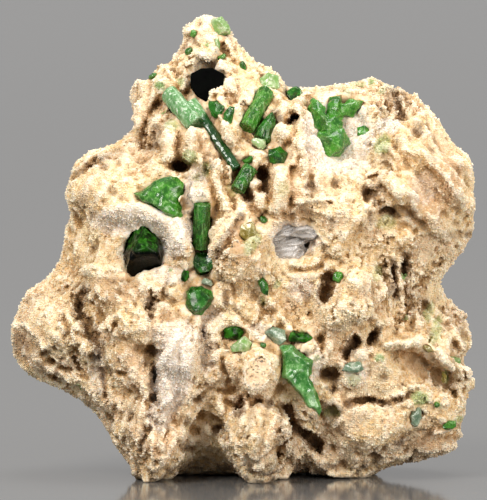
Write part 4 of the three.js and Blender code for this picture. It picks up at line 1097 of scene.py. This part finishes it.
def gem(name, colours, absorption, see_through, flecked, roughness=0.14, gloss=0.5, dark_end_colour="#1d4a20"):
    """Tourmaline, or quartz: clear parts colour the light on its way through, milky veils, flecks
    and worn edges scatter it. Worn edges and furrows are also paled as painted highlight, and the
    dark-end colour paints the long prism's own dark end and the cave crystal's shade. The colours
    run from the darkest to the palest."""
    dark, middle, pale = colours
    absorbed, density = absorption
    material, tree, shader, out = new_material(name)
    place = in_millimetres(tree)
    edges, streaks, dark_end = (add(tree, "Attribute", attribute_name=layer).outputs["Fac"]
                            for layer in ("edges", "streaks", "dark_end"))
    clouds, flecks, ripples = (
        add(tree, "TexNoise", {"Vector": place, "Scale": 1 / size, "Detail": detail,
                               "Roughness": softness}).outputs["Fac"]
        for size, detail, softness in ((1.4, 3, 0.6), (0.7, 5, 0.7), (0.3, 3, 0.6)))
    clouds, flecks, streaks = (
        add(tree, "MapRange", {"Value": value, "From Min": low, "From Max": high, "To Max": most},
            interpolation_type=SMOOTH).outputs[0]
        for value, low, high, most in ((clouds, 0.4, 0.62, 1), (flecks, 0.5, 0.72, 1),
                                       (streaks, 0.1, 0.55, 0.7)))
    # Flecks, worn edges and furrows pale the colour: milky flecks and wear, and along edges and furrows
    # painted highlight too.
    flecked, worn_and_lit = (add(tree, "Math", {0: value, 1: most}, operation="MULTIPLY").outputs[0]
                     for value, most in ((flecks, flecked), (edges, 0.4)))
    milky = add(tree, "Math", {0: flecked, 1: worn_and_lit}, operation="MAXIMUM").outputs[0]
    milky = add(tree, "Math", {0: milky, 1: streaks}, operation="MAXIMUM").outputs[0]
    colour = rgb(dark)
    for share, over in ((clouds, middle), (milky, pale), (dark_end, dark_end_colour)):
        colour = add(tree, "Mix", {0: share, 6: colour, 7: rgb(over)}, data_type="RGBA").outputs[2]
    tree.links.new(colour, shader.inputs["Base Color"])
    shader.inputs["Transmission Weight"].default_value = see_through
    shader.inputs["IOR"].default_value = TOURMALINE_IOR
    shader.inputs["Specular IOR Level"].default_value = gloss
    rough = add(tree, "MapRange", {"Value": flecks, "To Min": roughness, "To Max": roughness + 0.3},
                interpolation_type=SMOOTH)
    tree.links.new(rough.outputs[0], shader.inputs["Roughness"])
    bump = add(tree, "Bump", {"Height": ripples, "Strength": 0.4, "Distance": 0.04 * MM})
    tree.links.new(bump.outputs[0], shader.inputs["Normal"])
    depth = add(tree, "VolumeAbsorption", {"Color": rgb(absorbed), "Density": density / MM})
    tree.links.new(depth.outputs[0], out.inputs["Volume"])
    return material


# Each look: its name, its colours, the colour and strength per millimetre of its absorption, how
# far one sees through it, how flecked it is, and where they differ its roughness and gloss.
looks = {
    "leaf": gem("tourmaline_leaf_green", ("#24700f", "#52a82c", "#b4dc8c"), ("#4aa626", 0.28), 0.5,
                0.5, 0.2, 0.35),
    "deep": gem("tourmaline_deep_green", ("#12500a", "#2f8a1e", "#8cc670"), ("#2c7a12", 0.5), 0.5,
                0.4, 0.2, 0.3),
    # Bottle green darkened further as painted shade, for crystals set deep in shadowed pits; its
    # near-black dark-end colour is the painted shade of the cave crystal's lower part.
    "bottle": gem("tourmaline_bottle_green_shaded", ("#081f04", "#24600f", "#579040"), ("#0c3a06", 1.2),
                  0.08, 0.4, gloss=0.05, dark_end_colour="#010301"),
    "black": gem("tourmaline_black_green", ("#010101", "#020302", "#030503"), ("#020402", 3), 0.0,
                 0.1, 0.8, 0.03),
    "olive": gem("tourmaline_olive", ("#8f8438", "#cfc284", "#f4edc4"), ("#a89a50", 0.2), 0.35, 0.6),
    "mint": gem("tourmaline_pale_green", ("#86b35e", "#b5d096", "#eef3da"), ("#8fc070", 0.15), 0.35,
                0.7),
    "teal": gem("tourmaline_blue_green", ("#6f8f72", "#a4b79c", "#e2e8d8"), ("#7fa98c", 0.2), 0.35,
                0.7),
    "long": gem("tourmaline_pale_prism", ("#5a9652", "#82b078", "#dcead2"), ("#5f9f5c", 0.15), 0.25,
                0.4),
    "milky": gem("tourmaline_milky_green", ("#2c7d26", "#6cb05a", "#b4d8a0"), ("#4f9a44", 0.2), 0.4,
                 0.3),
    "quartz": gem("quartz_clear_white", ("#cfc9c3", "#e6e2de", "#ffffff"), ("#f3f0ee", 0.05), 0.5,
                  0.6, 0.25),
}
for look, nodes in CRYSTALS.items():
    for i, node in enumerate(nodes):
        grow(node, look, i + 2)

# The table
# A plain grey board that the rock stands on, lacquered to a satin gloss that mirrors its feet
# softly. It is far wider than the picture, so that no edge of it shows.
bpy.ops.mesh.primitive_circle_add(vertices=96, radius=9, fill_type="NGON", location=(0, 0, 0))
table = bpy.context.object
table.name = "table_top"
satin, tree, shader, out = new_material("table_satin_grey")
shader.inputs["Base Color"].default_value = rgb("#6c6c6b")
shader.inputs["Roughness"].default_value = 0.09
shader.inputs["Specular IOR Level"].default_value = 0.3
table.data.materials.append(satin)

# The lights
# Plain studio light: a soft light high at the front left, a larger and softer one low at the
# right, one above, and the grey room. Each is a cloth-fronted box, turned to the rock.
world = bpy.data.worlds.new("room")
bpy.context.scene.world = world
world.use_nodes = True
world.node_tree.nodes["Background"].inputs[0].default_value = rgb("#bdbcbb")
world.node_tree.nodes["Background"].inputs[1].default_value = 0.82
ROCK_MIDDLE = Vector((0, 0, 0.035))


def softbox(name, place, size, watts, warmth):
    light = bpy.data.lights.new(name, "AREA")
    light.size = size
    light.energy = watts
    light.color = rgb(warmth)[:3]
    lamp = bpy.data.objects.new(name, light)
    bpy.context.scene.collection.objects.link(lamp)
    lamp.location = place
    lamp.rotation_euler = (ROCK_MIDDLE - lamp.location).to_track_quat("-Z", "Y").to_euler()


softbox("key_light", (-0.3, -0.5, 0.5), 0.35, 5.6, "#fffaf4")
softbox("fill_light", (0.5, -0.6, 0.14), 0.5, 6.2, "#fff8f0")
softbox("top_light", (0.1, 0.05, 0.8), 0.5, 3.9, "#ffffff")

# The camera
# It stands a little over the middle of the rock and looks down on it by the angle of
# LOOK_DOWN, from far enough that the rock's depth hardly tapers. The picture is 487 x 500, and
# its width takes in 73.05 mm at the middle of the rock.
DISTANCE = 1.2
SENSOR = 36
SEEN_WIDTH = 0.07305
camera_data = bpy.data.cameras.new("camera")
camera = bpy.data.objects.new("camera", camera_data)
bpy.context.scene.collection.objects.link(camera)
bpy.context.scene.camera = camera
aim = Vector((0.0002, 0, 0.0341))
camera.location = aim + Vector((0, -math.cos(LOOK_DOWN), math.sin(LOOK_DOWN))) * DISTANCE
camera.rotation_euler = (aim - camera.location).to_track_quat("-Z", "Y").to_euler()
camera_data.sensor_width = SENSOR
camera_data.sensor_fit = "HORIZONTAL"
camera_data.lens = SENSOR * DISTANCE / SEEN_WIDTH
camera_data.clip_end = 40

bpy.context.scene.view_settings.view_transform = "Standard"
